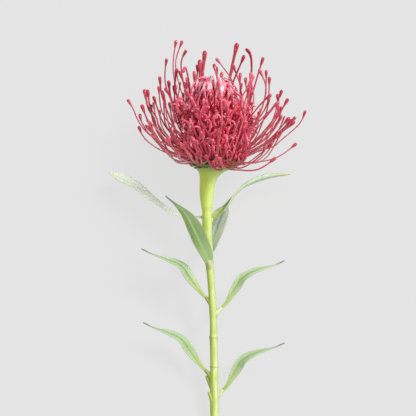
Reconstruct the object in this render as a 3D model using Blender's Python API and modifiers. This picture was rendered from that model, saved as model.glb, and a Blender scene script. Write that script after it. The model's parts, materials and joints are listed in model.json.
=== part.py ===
"""A cut pincushion protea flower, lying on a surface on its lower styles and the cut end of its stem.

The flower is modelled upright: x to the right, y away from the viewer, z up the stem from its cut end.
An empty then lays it down. The lists and sizes below are in millimetres, and the meshes are in metres.
"""
import math
import random

import bmesh
import bpy
from mathutils import Vector

NAME = "pincushion_protea_flower"
MM = 0.001
UP = Vector((0.0, 0.0, 1.0))

# The laid-down flower: the slope of its stem, and where the upright origin comes to lie.
LEAN = math.radians(10.5)
REST_X, REST_Y, REST_Z = 4.4, -140.2, 2.8

# The gap left between neighbouring pieces, and the distance under which points of one piece are welded.
GAP = 0.3
WELD = 0.01
# The head's axis.
HEAD_X = 1.8

# The stem: x of its centre line, z, radius.
STEM = (
    (1.7, -5.0, 3.0),
    (1.4, 14.0, 3.0),
    (1.1, 36.0, 3.0),
    (0.9, 52.0, 2.9),
    (0.8, 61.4, 2.8),
    (0.8, 63.4, 3.2),
    (0.7, 65.4, 2.7),
    (0.6, 79.0, 2.7),
    (0.5, 83.0, 3.0),
    (0.4, 87.0, 2.6),
    (-0.3, 106.0, 2.5),
    (-1.2, 120.0, 2.5),
    (-2.0, 130.0, 2.8),
    (-2.8, 137.0, 3.2),
    (-3.8, 150.0, 3.2),
    (-4.1, 168.0, 3.3),
    (-4.1, 170.6, 3.7),
    (-4.1, 177.0, 4.3),
    (-3.9, 185.0, 5.1),
    (-3.0, 190.5, 6.5),
    (-1.5, 194.0, 8.8),
    (0.0, 196.2, 11.6),
    (0.4, 197.0, 12.4),
)
STEM_SIDES = 12
STEM_CUT_Z, STEM_CUT_SLOPE = 1.6, math.radians(28.0)

# Spurs on the stem where no leaf sits: root x, y, z, tip x, y, z and tip radius.
SPURS = (
    ((-0.2, 0.6, 48.0), (-4.8, 1.2, 56.6), 0.7),
    ((0.2, -0.6, 38.5), (-3.2, -1.4, 46.4), 0.7),
)
SPUR_ROOT_RADIUS = 2.0
NUB_ROOT_RADIUS = 2.3
NUB_SIDES = 8
# Where a nub is narrowed halfway to its tip radius, from its root.
NUB_WAIST = 0.6

# The bract collar's outline, turned round the head's axis: radius, z.
COLLAR = ((0.0, 197.3), (12.9, 197.3), (15.2, 198.0), (16.0, 199.4),
          (15.2, 199.8), (13.6, 198.9), (11.6, 198.4), (0.0, 198.4))
COLLAR_SIDES = 26
# Rows of bracts on the collar: how many, the radius and z of a bract's root, its length and its slope.
BRACT_ROWS = ((13, 11.8, 198.0, 7.4, 11), (13, 13.0, 198.4, 6.8, 20))
BRACT_HALF_WIDTH = 2.3
BRACT_SIDES, BRACT_FLATNESS = 6, 0.3
BRACT_OUTLINE = ((0.0, 1.0), (0.45, 0.95), (0.8, 0.5), (1.0, 0.15))

# The core that the styles grow from: radius, z.
CORE = (
    (0.0, 198.8), (11.0, 198.8), (13.2, 199.7), (15.0, 201.2), (16.2, 205.0), (16.9, 215.0), (15.6, 226.0),
    (12.2, 236.0), (7.2, 242.5), (0.0, 246.0),
)
CORE_SIDES = 18
ROOT_DEPTH = 3.0

STYLE_SIDES = 3
STYLE_RADIUS = 0.72
KNOB_RADIUS = 1.4
# The height over the surface at which a style's centre comes to rest, in shares of its radius.
SETTLED = 0.75
# Places along a style and how far its radius has grown there from the style's own to the knob's.
STYLE_STEPS = ((0.0, 0.0), (0.2, 0.0), (0.38, 0.0), (0.56, 0.0), (0.74, 0.0),
               (0.925, 0.1), (0.955, 0.9), (0.985, 0.95), (1.0, 0.0))

# Whorls of styles: how many, the range of the roots' heights, the radius and height of the lowest and of the
# highest tips, the ranges of the angles over the horizontal at which a style leaves the core and ends, and
# how far to the front the whorl goes, where -1 is all round. The front is left open over the dome, and the
# apron hangs over the bracts.
SEED = 1907
WHORLS = {
    "skirt": (30, (202.0, 204.2), (38.0, 55.0), (214.0, 237.0), (-4, 14), (32, 70), -0.72),
    "bowl": (40, (204.0, 210.0), (51.0, 34.0), (234.0, 252.0), (6, 32), (60, 96), -0.5),
    "vase": (34, (207.0, 217.0), (34.0, 19.0), (246.0, 262.0), (26, 50), (74, 104), -0.3),
    "crown": (16, (212.0, 226.0), (24.0, 10.0), (254.0, 268.0), (48, 68), (82, 108), -0.1),
    "apron": (12, (203.2, 204.4), (32.0, 50.0), (204.0, 226.0), (-20, -8), (20, 75), -1.0),
    "dome": (40, (206.0, 236.0), (16.0, 3.0), (238.0, 258.0), (14, 50), (125, 215), -1.0),
}
# How unevenly the styles stand: shares of a whorl's range, a turn about the axis, and a lean to one side,
# which also moves the tip.
SCATTER, TURN_SCATTER, LEAN_SCATTER, TIP_SHIFT = 0.25, 0.16, 0.28, 12.0
TURN = math.radians(137.508)
# How far a style's own curve follows its directions at the root and at the tip, in shares of its reach.
ROOT_PULL, TIP_PULL = 0.5, 0.42

# Styles that stand out against the rest: tip x, y, z, the angle at the tip over the horizontal, its lean
# to the right in degrees, and the root's height.
OUTSTANDING = (
    (-57.5, -6.0, 243.5, 62, 0, 204.2),
    (-50.0, 10.0, 225.5, 48, 0, 203.7),
    (-49.2, -14.0, 233.5, 76, 0, 204.2),
    (-46.5, 12.0, 250.0, 82, 0, 206.2),
    (-44.6, -8.0, 250.0, 92, 0, 206.2),
    (-36.5, 14.0, 258.0, 82, 0, 205.6),
    (-31.7, -10.0, 270.8, 98, 0, 210.0),
    (-24.8, 6.0, 283.4, 97, 0, 212.0),
    (-20.6, -8.0, 283.2, 90, 14, 214.0),
    (-17.8, 10.0, 277.6, 90, 20, 215.0),
    (-9.0, 6.0, 270.6, 90, 4, 222.0),
    (-5.5, -2.0, 276.6, 90, 8, 224.0),
    (0.6, -26.0, 264.5, 95, -10, 214.0),
    (16.2, 10.0, 282.0, 84, 0, 222.0),
    (20.8, -8.0, 272.8, 64, 0, 218.0),
    (22.4, 12.0, 278.8, 118, 0, 214.0),
    (33.6, 2.0, 271.9, 66, 0, 212.0),
    (35.4, 12.0, 262.4, 94, 0, 209.0),
    (37.8, -8.0, 258.2, 92, 0, 205.6),
    (46.2, 6.0, 250.0, 78, 0, 206.2),
    (50.3, -6.0, 243.6, 72, 0, 205.2),
    (62.3, 2.0, 236.0, 58, 0, 204.2),
    (51.6, 16.0, 230.8, 82, 0, 204.2),
    (56.1, -4.0, 213.9, 38, 0, 203.6),
    (42.1, -18.0, 203.9, 40, 0, 204.0),
    (-11.5, -38.0, 231.0, 75, 0, 207.2),
    (-14.0, -43.0, 222.0, 62, 0, 205.2),
    (-8.3, -45.0, 219.5, 60, 0, 205.2),
    (-1.4, -43.0, 213.0, 70, 8, 204.2),
    (3.0, -46.0, 208.0, 30, 0, 203.7),
    (-4.2, -39.0, 202.0, 15, 0, 204.0),
)

# They leave the core the flatter the farther out their tips are: the angle of one that ends on the axis,
# the fall for each millimetre outwards, and the flattest angle.
LEAVE_AT_AXIS, LEAVE_FALL, LEAVE_LEAST = 80.0, 1.5, -6.0
# Those whose tips are lower than this first droop, by so many degrees for each millimetre.
DROOP_FROM, DROOP = 216.0, 2.5

# Leaf outlines: the place along the leaf and the share of the full width there.
STALKED = ((0.0, 0.3), (0.1, 0.32), (0.2, 0.44), (0.32, 0.8), (0.44, 1.0), (0.56, 0.98), (0.68, 0.72),
           (0.78, 0.36), (0.86, 0.14), (1.0, 0.08))
BROAD_END = ((0.0, 0.2), (0.15, 0.28), (0.4, 0.46), (0.62, 0.78), (0.78, 1.0), (0.88, 0.78), (0.95, 0.3),
             (1.0, 0.08))
CLASPING = ((0.0, 0.45), (0.1, 0.66), (0.25, 0.9), (0.45, 1.0), (0.62, 0.8), (0.76, 0.42), (0.87, 0.14),
            (1.0, 0.06))
TWISTED = ((0.0, 0.5), (0.1, 0.8), (0.22, 1.0), (0.36, 0.85), (0.5, 0.62), (0.66, 0.72), (0.8, 0.62),
           (0.92, 0.28), (1.0, 0.08))
LEAF_THICKNESS = 0.7
LEAF_STATIONS, LEAF_COLUMNS = 18, 4
# How much of a leaf's fold is gone at its tip.
FOLD_FADE = 0.6
# Half the stretch of a leaf over which the direction of its midrib is taken, in shares of its length.
RIB_STEP = 0.02

# Each leaf: its midrib from the stem outwards, half width, the way that its upper face looks at the base and
# at the tip, how far its halves fold up, its outline, and the root and tip radius of the nub that it sits on.
LEAVES = {
    "leaf_left_mid": (
        ((-4.8, 0.4, 109.8), (-8.2, 0.2, 113.4), (-14.4, -1.0, 121.6), (-20.8, -3.0, 130.6),
         (-29.9, -5.4, 135.4), (-39.6, -8.0, 139.0), (-47.7, -10.0, 143.0)),
        3.7, (-0.5, -0.65, 0.7), (0.1, -0.55, 1.0), 14, STALKED, (-0.4, 0.0, 104.6), 1.1),
    "leaf_right_mid": (
        ((5.5, 1.0, 102.6), (9.6, 1.2, 106.8), (15.2, 0.0, 116.2), (20.6, -2.0, 123.4),
         (29.6, -4.6, 128.4), (39.8, -6.4, 131.4), (47.7, -7.4, 135.0)),
        3.7, (0.5, -0.7, 0.6), (-0.2, -0.6, 1.0), 14, STALKED, (0.8, 0.0, 97.6), 1.3),
    "leaf_left_low": (
        ((-4.9, 1.0, 60.4), (-8.2, 1.2, 64.0), (-14.2, 1.6, 71.8), (-20.6, 0.6, 80.8),
         (-29.6, -0.6, 85.8), (-39.2, -1.2, 89.4), (-47.1, -1.6, 93.2)),
        3.7, (-0.5, -0.65, 0.7), (0.1, -0.5, 1.0), 14, STALKED, (0.2, 0.2, 55.2), 1.2),
    "leaf_right_low": (
        ((6.4, -0.6, 47.4), (9.8, -1.4, 51.0), (15.2, -2.4, 60.6), (20.6, -4.4, 68.4),
         (29.6, -7.0, 73.4), (39.8, -9.4, 76.8), (47.7, -11.0, 80.4)),
        3.7, (0.5, -0.7, 0.6), (-0.2, -0.6, 1.0), 14, STALKED, (1.8, 0.0, 42.0), 1.2),
    "leaf_front_left": (
        ((-3.3, -4.4, 134.4), (-5.0, -6.2, 139.0), (-9.2, -10.6, 147.6), (-13.0, -14.8, 156.0),
         (-17.6, -18.6, 164.4), (-24.0, -22.4, 171.8), (-31.2, -25.4, 178.0)),
        6.2, (0.3, -0.9, 0.5), (0.2, -0.8, 0.6), 26, CLASPING, (-2.6, -0.6, 129.4), 1.8),
    "leaf_back_left": (
        ((-7.6, 2.8, 164.0), (-15.5, 6.0, 163.8), (-27.4, 11.4, 166.6), (-41.8, 17.0, 176.2),
         (-53.0, 20.6, 185.0), (-63.6, 23.6, 190.8), (-71.4, 25.4, 194.8)),
        6.0, (0.3, -0.5, 0.8), (0.4, -0.5, 0.8), 20, BROAD_END, (-4.0, 0.4, 158.6), 1.2),
    "leaf_back_right_upper": (
        ((-0.4, 3.2, 162.6), (4.7, 4.8, 166.1), (9.8, 7.0, 171.2), (16.2, 10.5, 180.3),
         (26.0, 15.5, 187.2), (39.0, 20.5, 192.0), (53.8, 24.4, 193.6)),
        3.9, (-0.53, -0.7, 0.42), (-0.3, 0.9, 0.5), 36, TWISTED, (-3.8, 0.4, 157.4), 1.3),
    "leaf_back_right_lower": (
        ((-1.6, 5.0, 140.6), (-0.2, 7.8, 146.4), (2.6, 13.2, 154.4), (5.0, 18.6, 161.2),
         (7.4, 23.8, 166.8), (9.8, 28.4, 171.0), (12.4, 32.0, 174.4)),
        6.0, (-0.35, -0.85, 0.5), (-0.35, -0.85, 0.5), 18, CLASPING, (-2.8, 0.4, 135.6), 1.6),
}

FINISHES = {
    "stem": ((0.42, 0.56, 0.16), 0.45),
    "bract_collar": ((0.16, 0.19, 0.06), 0.6),
    "flower_head": ((0.56, 0.035, 0.075), 0.4),
    "near_leaf": ((0.27, 0.38, 0.17), 0.5),
    "far_leaf": ((0.5, 0.62, 0.44), 0.55),
}


def clear_scene():
    for old in list(bpy.data.objects):
        bpy.data.objects.remove(old, do_unlink=True)


def new_collection(name):
    collection = bpy.data.collections.new(name)
    bpy.context.scene.collection.children.link(collection)
    return collection


def material(name, finish):
    colour, roughness = FINISHES[finish]
    made = bpy.data.materials.new(name)
    made.use_nodes = True
    shader = made.node_tree.nodes["Principled BSDF"]
    shader.inputs["Base Color"].default_value = (*colour, 1.0)
    shader.inputs["Roughness"].default_value = roughness
    shader.inputs["Metallic"].default_value = 0.0
    return made


def smooth_at(points, place):
    """A point of the smooth curve through points, for place from 0 at the first to 1 at the last."""
    spot = min(max(place, 0.0), 1.0) * (len(points) - 1)
    index = min(int(spot), len(points) - 2)
    part = spot - index
    before, start = points[max(index - 1, 0)], points[index]
    end, after = points[index + 1], points[min(index + 2, len(points) - 1)]
    return [
        b + 0.5 * part * (c - a + part * (2 * a - 5 * b + 4 * c - d + part * (3 * b - a - 3 * c + d)))
        for a, b, c, d in zip(before, start, end, after)
    ]


def share_at(outline, place):
    """The value that an outline of (place, value) pairs has at a place, eased between its pairs."""
    for (low, first), (high, last) in zip(outline, outline[1:]):
        if place <= high:
            part = (place - low) / (high - low)
            return first + (last - first) * part * part * (3 - 2 * part)
    return outline[-1][1]


def over_surface(point):
    """How far a point of the upright flower is over the surface once it lies down."""
    return point.z * math.sin(LEAN) - point.y * math.cos(LEAN) + REST_Z


def lift(point, least):
    """Moves a point that would be under the surface up to least above it."""
    low = least - over_surface(point)
    return point + max(low, 0.0) * Vector((0.0, -math.cos(LEAN), math.sin(LEAN)))


def settle(mesh):
    """Flattens what would reach under the surface, which gives the flower its flat spots to lie on."""
    for vertex in mesh.vertices:
        vertex.co = lift(vertex.co / MM, 0.0) * MM


def ring_profile(name, corners):
    """A closed flat curve of unit size, the cross-section of a tube."""
    curve = bpy.data.curves.new(name, "CURVE")
    curve.dimensions = "2D"
    spline = curve.splines.new("POLY")
    spline.points.add(len(corners) - 1)
    for point, (x, y) in zip(spline.points, corners):
        point.co = (x * MM, y * MM, 0.0, 1.0)
    spline.use_cyclic_u = True
    profile = bpy.data.objects.new(name, curve)
    cross_sections.objects.link(profile)
    return profile


def tube(name, points, profile, collection):
    """A closed mesh tube through (x, y, z, radius) points, from a curve with the given cross-section."""
    curve = bpy.data.curves.new(name, "CURVE")
    curve.dimensions = "3D"
    curve.bevel_mode = "OBJECT"
    curve.bevel_object = profile
    curve.use_fill_caps = True
    spline = curve.splines.new("POLY")
    spline.points.add(len(points) - 1)
    for point, (x, y, z, radius) in zip(spline.points, points):
        point.co = (x * MM, y * MM, z * MM, 1.0)
        point.radius = radius
    drawn = bpy.data.objects.new(name, curve)
    collection.objects.link(drawn)
    made = as_mesh(drawn, collection)
    bpy.data.objects.remove(drawn, do_unlink=True)
    bpy.data.curves.remove(curve)
    made.name = name
    return made


def face_outward(shape):
    bmesh.ops.recalc_face_normals(shape, faces=shape.faces)
    if shape.calc_volume(signed=True) < 0:
        bmesh.ops.reverse_faces(shape, faces=shape.faces)


def as_mesh(source, collection):
    """The evaluated object as a mesh object of its own, with its seams welded."""
    bpy.context.view_layer.update()
    depsgraph = bpy.context.evaluated_depsgraph_get()
    mesh = bpy.data.meshes.new_from_object(source.evaluated_get(depsgraph))
    shape = bmesh.new()
    shape.from_mesh(mesh)
    bmesh.ops.remove_doubles(shape, verts=shape.verts, dist=WELD * MM)
    face_outward(shape)
    shape.to_mesh(mesh)
    shape.free()
    made = bpy.data.objects.new(source.name, mesh)
    made.matrix_world = source.matrix_world
    collection.objects.link(made)
    return made


def turned(name, outline, sides, collection, centre_x):
    """A solid of revolution about the upright axis through centre_x."""
    mesh = bpy.data.meshes.new(name)
    shape = bmesh.new()
    corners = [shape.verts.new((radius * MM, 0.0, z * MM)) for radius, z in outline]
    for first, last in zip(corners, corners[1:]):
        shape.edges.new((first, last))
    shape.to_mesh(mesh)
    shape.free()
    drawn = bpy.data.objects.new(name, mesh)
    collection.objects.link(drawn)
    screw = drawn.modifiers.new("Turn", "SCREW")
    screw.axis = "Z"
    screw.steps = screw.render_steps = sides
    screw.use_merge_vertices = True
    screw.merge_threshold = WELD * MM
    made = as_mesh(drawn, collection)
    bpy.data.objects.remove(drawn, do_unlink=True)
    made.name = name
    for vertex in made.data.vertices:
        vertex.co.x += centre_x * MM
    return made


def fill_pockets(mesh):
    """Keeps the skin that starts at the highest vertex, and deletes the skins of pockets closed in by it."""
    shape = bmesh.new()
    shape.from_mesh(mesh)
    skin = {max(shape.verts, key=lambda vertex: vertex.co.z)}
    edge = list(skin)
    while edge:
        near = {other for vertex in edge for link in vertex.link_edges for other in link.verts}
        edge = list(near - skin)
        skin |= near
    bmesh.ops.delete(shape, geom=[vertex for vertex in shape.verts if vertex not in skin], context="VERTS")
    shape.to_mesh(mesh)
    shape.free()


def fuse(target, pieces):
    """Joins every object of a collection to the target with one Boolean union, and removes them."""
    union = target.modifiers.new("Fuse", "BOOLEAN")
    union.operation = "UNION"
    union.operand_type = "COLLECTION"
    union.collection = pieces
    union.solver = "MANIFOLD"
    bpy.context.view_layer.update()
    depsgraph = bpy.context.evaluated_depsgraph_get()
    mesh = bpy.data.meshes.new_from_object(target.evaluated_get(depsgraph))
    fill_pockets(mesh)
    target.modifiers.clear()
    target.data = mesh
    for piece in list(pieces.objects):
        bpy.data.objects.remove(piece, do_unlink=True)
    bpy.data.collections.remove(pieces)


def finish_node(node, finish):
    node.parent = lying
    node.data.materials.clear()
    node.data.materials.append(material(node.name, finish))


def make_stem():
    steps = 2 * (len(STEM) - 1)
    rings = [smooth_at(STEM, step / steps) for step in range(steps + 1)]
    outline = [(0.0, rings[0][1]), *((radius, z) for _, z, radius in rings), (0.0, rings[-1][1])]
    stem = turned("stem", outline, STEM_SIDES, parts, 0.0)
    for vertex in stem.data.vertices:
        vertex.co.x += min(rings, key=lambda ring: abs(ring[1] - vertex.co.z / MM))[0] * MM
    shape = bmesh.new()
    shape.from_mesh(stem.data)
    cut = bmesh.ops.bisect_plane(
        shape,
        geom=shape.verts[:] + shape.edges[:] + shape.faces[:],
        plane_co=(0.0, 0.0, STEM_CUT_Z * MM),
        plane_no=(0.0, math.sin(STEM_CUT_SLOPE), math.cos(STEM_CUT_SLOPE)),
        clear_inner=True,
    )
    rim = [item for item in cut["geom_cut"] if isinstance(item, bmesh.types.BMEdge)]
    bmesh.ops.edgeloop_fill(shape, edges=rim)
    face_outward(shape)
    shape.to_mesh(stem.data)
    shape.free()
    nubs = new_collection("nubs")
    for root, tip, tip_radius in SPURS:
        root, tip = Vector(root), Vector(tip)
        make_nub(root, tip, (tip - root).normalized(), SPUR_ROOT_RADIUS, tip_radius, nubs)
    for rib, _, _, _, _, _, nub_root, nub_radius in LEAVES.values():
        base = Vector(rib[0])
        outwards = (Vector(rib[1]) - base).normalized()
        make_nub(Vector(nub_root), base - outwards * GAP, outwards, NUB_ROOT_RADIUS, nub_radius, nubs)
    fuse(stem, nubs)
    settle(stem.data)
    finish_node(stem, "stem")


def make_nub(root, tip, outwards, root_radius, tip_radius, collection):
    """A stub that tapers from inside the stem to its tip, where it faces outwards."""
    neck = tip - outwards * tip_radius
    middle = root.lerp(neck, NUB_WAIST)
    waist = between((root_radius, tip_radius), 0.5)
    path = ((*root, root_radius), (*middle, waist), (*neck, tip_radius), (*tip, tip_radius))
    tube("nub", path, nub_profile, collection)


def make_collar():
    collar = turned("bract_collar", COLLAR, COLLAR_SIDES, parts, HEAD_X)
    bracts = new_collection("bracts")
    for row, (count, radius, height, length, slope) in enumerate(BRACT_ROWS):
        slope = math.radians(slope)
        for index in range(count):
            around = 2 * math.pi * (index + 0.5 * row) / count
            out = Vector((math.cos(around), math.sin(around), 0.0))
            path = []
            for place, width in BRACT_OUTLINE:
                reach = radius + length * place * math.cos(slope)
                point = out * reach + Vector((HEAD_X, 0.0, height + length * place * math.sin(slope)))
                path.append((*point, width * BRACT_HALF_WIDTH))
            tube("bract", path, flat_profile, bracts)
    fuse(collar, bracts)
    finish_node(collar, "bract_collar")


def style_path(root, leave, tip, rise):
    """Points with radii along a style, bent so that it stays over the surface."""
    reach = (tip - root).length
    first = root + leave * reach * ROOT_PULL
    second = tip - rise * reach * TIP_PULL
    path = []
    for place, knob in STYLE_STEPS:
        rest = 1.0 - place
        point = (root * rest**3 + first * 3 * rest**2 * place + second * 3 * rest * place**2 + tip * place**3)
        radius = STYLE_RADIUS + (KNOB_RADIUS - STYLE_RADIUS) * knob
        path.append((*lift(point, SETTLED * radius), radius))
    return path


def core_radius(height):
    """The core's radius at a height, from its outline."""
    for (first, low), (last, high) in zip(CORE[1:], CORE[2:]):
        if low <= height <= high and high > low:
            return first + (last - first) * (height - low) / (high - low)
    return CORE[1][0]


def slanted(out, slope):
    """The direction that goes outwards at a slope over the horizontal, in degrees."""
    return out * math.cos(math.radians(slope)) + UP * math.sin(math.radians(slope))


def between(ends, share):
    return ends[0] + (ends[1] - ends[0]) * share


def whorl_styles():
    """Seeded styles of every whorl, spaced by the golden angle."""
    for number, (count, roots, radii, heights, leaves, rises, frontmost) in enumerate(WHORLS.values()):
        draw = random.Random(SEED + number)
        for index in range(count):
            around = TURN * index + number + draw.uniform(-TURN_SCATTER, TURN_SCATTER)
            out = Vector((math.cos(around), math.sin(around), 0.0))
            aside = Vector((-math.sin(around), math.cos(around), 0.0))
            aside *= draw.uniform(-LEAN_SCATTER, LEAN_SCATTER)
            share = draw.random()
            root_height = draw.uniform(*roots)
            leave, rise = draw.uniform(*leaves), draw.uniform(*rises)
            radius = between(radii, (1.0 - SCATTER) * share + SCATTER * draw.random())
            height = between(heights, (1.0 - SCATTER) * share + SCATTER * draw.random())
            if out.y < frontmost:
                continue
            root = out * (core_radius(root_height) - ROOT_DEPTH) + UP * root_height
            tip = out * radius + aside * TIP_SHIFT + UP * height
            yield root, slanted(out, leave), tip, (slanted(out, rise) + aside).normalized()


def outstanding_styles():
    """The styles that stand out, each from the side of the core that its tip is on."""
    for x, y, z, rise, lean, root_height in OUTSTANDING:
        tip = Vector((x - HEAD_X, y, z))
        out = Vector((tip.x, tip.y, 0.0)).normalized()
        aside = Vector((math.sin(math.radians(lean)), 0.0, 0.0))
        root = out * (core_radius(root_height) - ROOT_DEPTH) + UP * root_height
        leave = max(LEAVE_AT_AXIS - LEAVE_FALL * math.hypot(tip.x, tip.y), LEAVE_LEAST)
        leave -= DROOP * max(DROOP_FROM - z, 0.0)
        yield root, slanted(out, leave), tip, (slanted(out, rise) + aside).normalized()


def make_head():
    head = turned("flower_head", CORE, CORE_SIDES, parts, HEAD_X)
    styles = new_collection("styles")
    shift = Vector((HEAD_X, 0.0, 0.0))
    for root, leave, tip, rise in (*whorl_styles(), *outstanding_styles()):
        path = style_path(root + shift, leave, tip + shift, rise)
        style = tube("style", path, style_profile, styles)
        settle(style.data)
    fuse(head, styles)
    finish_node(head, "flower_head")


def make_leaf(name, rib, half_width, base_face, tip_face, fold, outline):
    """A thin folded blade along its midrib, pointed at the tip."""
    shape = bmesh.new()
    bmesh.ops.create_grid(shape, x_segments=LEAF_COLUMNS, y_segments=LEAF_STATIONS, size=1.0)
    for vertex in shape.verts:
        place, across = (vertex.co.y + 1) / 2, vertex.co.x
        centre = Vector(smooth_at(rib, place))
        along = Vector(smooth_at(rib, place + RIB_STEP)) - Vector(smooth_at(rib, place - RIB_STEP))
        face = Vector(base_face).lerp(Vector(tip_face), place)
        side = along.cross(face).normalized()
        face = side.cross(along).normalized()
        width = half_width * share_at(outline, place) * across
        lift_edge = math.tan(math.radians(fold * (1.0 - FOLD_FADE * place))) * abs(width)
        vertex.co = lift(centre + side * width + face * lift_edge, LEAF_THICKNESS) * MM
    bmesh.ops.triangulate(shape, faces=shape.faces, quad_method="FIXED")
    mesh = bpy.data.meshes.new(name)
    shape.to_mesh(mesh)
    shape.free()
    leaf = bpy.data.objects.new(name, mesh)
    parts.objects.link(leaf)
    thick = leaf.modifiers.new("Thickness", "SOLIDIFY")
    thick.thickness = LEAF_THICKNESS * MM
    thick.offset = 0.0
    finish_node(leaf, "far_leaf" if name.startswith("leaf_back") else "near_leaf")


def regular(sides, flat=1.0):
    """The corners of a regular polygon, pressed flat by a share."""
    turns = [2 * math.pi * corner / sides for corner in range(sides)]
    return [(math.cos(turn), flat * math.sin(turn)) for turn in turns]


clear_scene()
parts = new_collection(NAME)
cross_sections = new_collection("cross_sections")
lying = bpy.data.objects.new("lying", None)
lying.location = Vector((REST_X, REST_Y, REST_Z)) * MM
lying.rotation_euler = (LEAN - math.pi / 2, 0.0, 0.0)
parts.objects.link(lying)

nub_profile = ring_profile("nub_profile", regular(NUB_SIDES))
flat_profile = ring_profile("flat_profile", regular(BRACT_SIDES, BRACT_FLATNESS))
style_profile = ring_profile("style_profile", regular(STYLE_SIDES))

make_stem()
make_collar()
make_head()
for leaf_name, leaf_sizes in LEAVES.items():
    make_leaf(leaf_name, *leaf_sizes[:6])
for profile in list(cross_sections.objects):
    bpy.data.objects.remove(profile, do_unlink=True)
bpy.data.collections.remove(cross_sections)
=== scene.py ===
"""The looks of a cut pincushion protea flower that lies on a pale surface.

The flower is drawn upright, in millimetres: x to the right, y away from the viewer, z up the stem from its
cut end. LAID turns and scales each finished mesh to where the frame's flower lies, in metres.
"""
import json
import math
import random

import bmesh
import bpy
from mathutils import Matrix, Vector
from mathutils.noise import noise

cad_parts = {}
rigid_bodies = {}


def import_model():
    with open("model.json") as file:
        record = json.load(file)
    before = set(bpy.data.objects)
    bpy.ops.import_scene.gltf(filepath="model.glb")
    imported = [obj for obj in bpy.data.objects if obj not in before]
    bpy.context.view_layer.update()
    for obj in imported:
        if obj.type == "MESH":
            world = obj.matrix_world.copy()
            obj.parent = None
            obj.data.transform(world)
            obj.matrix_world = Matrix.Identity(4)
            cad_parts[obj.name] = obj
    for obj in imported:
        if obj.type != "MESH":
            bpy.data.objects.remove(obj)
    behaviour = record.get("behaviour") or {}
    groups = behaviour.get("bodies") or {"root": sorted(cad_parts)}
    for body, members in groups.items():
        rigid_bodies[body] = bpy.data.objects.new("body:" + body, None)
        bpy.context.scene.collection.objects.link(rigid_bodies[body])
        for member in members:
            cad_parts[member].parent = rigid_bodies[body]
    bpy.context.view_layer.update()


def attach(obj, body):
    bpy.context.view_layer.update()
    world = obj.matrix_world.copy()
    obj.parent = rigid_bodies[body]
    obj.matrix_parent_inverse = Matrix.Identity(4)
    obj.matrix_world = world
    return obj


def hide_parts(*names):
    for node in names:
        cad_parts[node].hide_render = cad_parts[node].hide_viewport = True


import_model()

bl_info = {
    "name": "Pincushion Protea Flower",
    "version": (1, 0, 0),
    "blender": (4, 5, 0),
    "location": "3D Viewport > Sidebar > Protea",
    "description": "Builds the stem, bracts, styles and leaves of a cut pincushion protea, and a plain stage",
    "category": "Add Mesh",
}

MM = 0.001
UP = Vector((0.0, 0.0, 1.0))
BODY = "root"
# The map for baking, and the part of one of its cells that a shape fills, each way.
BAKE_MAP, CELL_INSIDE = "OFBake", (0.04, 0.96)
# What the random draws start from.
SEED = 1907

# The laid-down flower: the slope of its stem, and where the upright origin comes to lie.
LEAN = math.radians(10.5)
REST = Vector((4.4, -140.2, 2.8))
LAID = Matrix.Translation(REST * MM) @ Matrix.Rotation(LEAN - math.pi / 2, 4, "X") @ Matrix.Scale(MM, 4)

# The head's axis.
HEAD_X = 1.8

# The stem: x of its centre line, z, radius.
STEM = (
    (1.7, -5.0, 3.0), (1.4, 14.0, 3.0), (1.1, 36.0, 3.0), (0.9, 52.0, 2.9), (0.8, 61.4, 2.8),
    (0.8, 63.4, 3.2), (0.7, 65.4, 2.7), (0.6, 79.0, 2.7), (0.5, 83.0, 3.0), (0.4, 87.0, 2.6),
    (-0.3, 106.0, 2.5), (-1.2, 120.0, 2.5), (-2.0, 130.0, 2.8), (-2.8, 137.0, 3.2), (-3.8, 150.0, 3.2),
    (-4.1, 168.0, 3.3), (-4.1, 170.6, 3.7), (-4.1, 177.0, 4.3), (-3.9, 185.0, 5.1), (-3.0, 190.5, 6.5),
    (-1.5, 194.0, 8.8), (0.0, 196.2, 11.6), (0.4, 197.0, 12.4),
)
STEM_CUT_Z, STEM_CUT_SLOPE = 1.6, math.radians(28.0)
# Its fine ribs: depth, how many, and their shift in radians for each millimetre up.
STEM_RIBS = ((0.05, 7, 0.03), (0.04, 11, -0.05))
# How uneven its radius is, as a share of it.
STEM_UNEVENNESS = 0.12
# How finely it is built: steps up, sides, and the cell of the skin that joins it with its nubs.
STEM_STEPS, STEM_SIDES, STEM_FINENESS = 300, 32, 0.36
# Its marked joints: height, reach up and down, and how brown they are.
JOINTS = ((63.4, 0.9, 0.6), (168.6, 1.6, 0.2), (134.0, 2.0, 0.35), (83.0, 1.6, 0.3))
# The heights between which the flare's greens and the darker green of its rim come in.
FLARE_FADE, RIM_FADE = (146.0, 172.0), (192.5, 197.0)

# Spurs on the stem where no leaf sits: root x, y, z, tip x, y, z and tip radius.
SPURS = (
    ((-0.2, 0.6, 48.0), (-4.8, 1.2, 56.6), 0.7),
    ((0.2, -0.6, 38.5), (-3.2, -1.4, 46.4), 0.7),
)
SPUR_ROOT_RADIUS, NUB_ROOT_RADIUS = 2.0, 2.3
# A nub's steps, the length over which it bends to its leaf's way, and how far it goes past the leaf's base.
NUB_STEPS, NUB_BEND, NUB_OVERLAP = 12, 2.0, 0.4
# Where a nub's husky colour starts, in stem radii out from the middle, how fast it comes in, and the height
# from which up there is none and the one from which down it is full.
HUSK_START, HUSK_GAIN, HUSK_FADE = 1.15, 3.0, (152.0, 140.0)

# Rows of bracts: how many, the row's radius and height, the bracts' length beyond it, and their slope in
# degrees.
BRACT_ROWS = (
    (17, 11.2, 196.9, 4.4, -2), (19, 12.4, 197.9, 6.6, 8), (21, 13.0, 198.6, 7.2, 18),
    (17, 12.6, 199.4, 6.0, 26),
)
# A bract's length inside the row's radius, its bend in radians, its half width, and its thickness in shares
# of its width.
BRACT_ROOT, BRACT_BEND, BRACT_HALF_WIDTH, BRACT_FLATNESS = 2.0, 0.2, 2.1, 0.24
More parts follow.
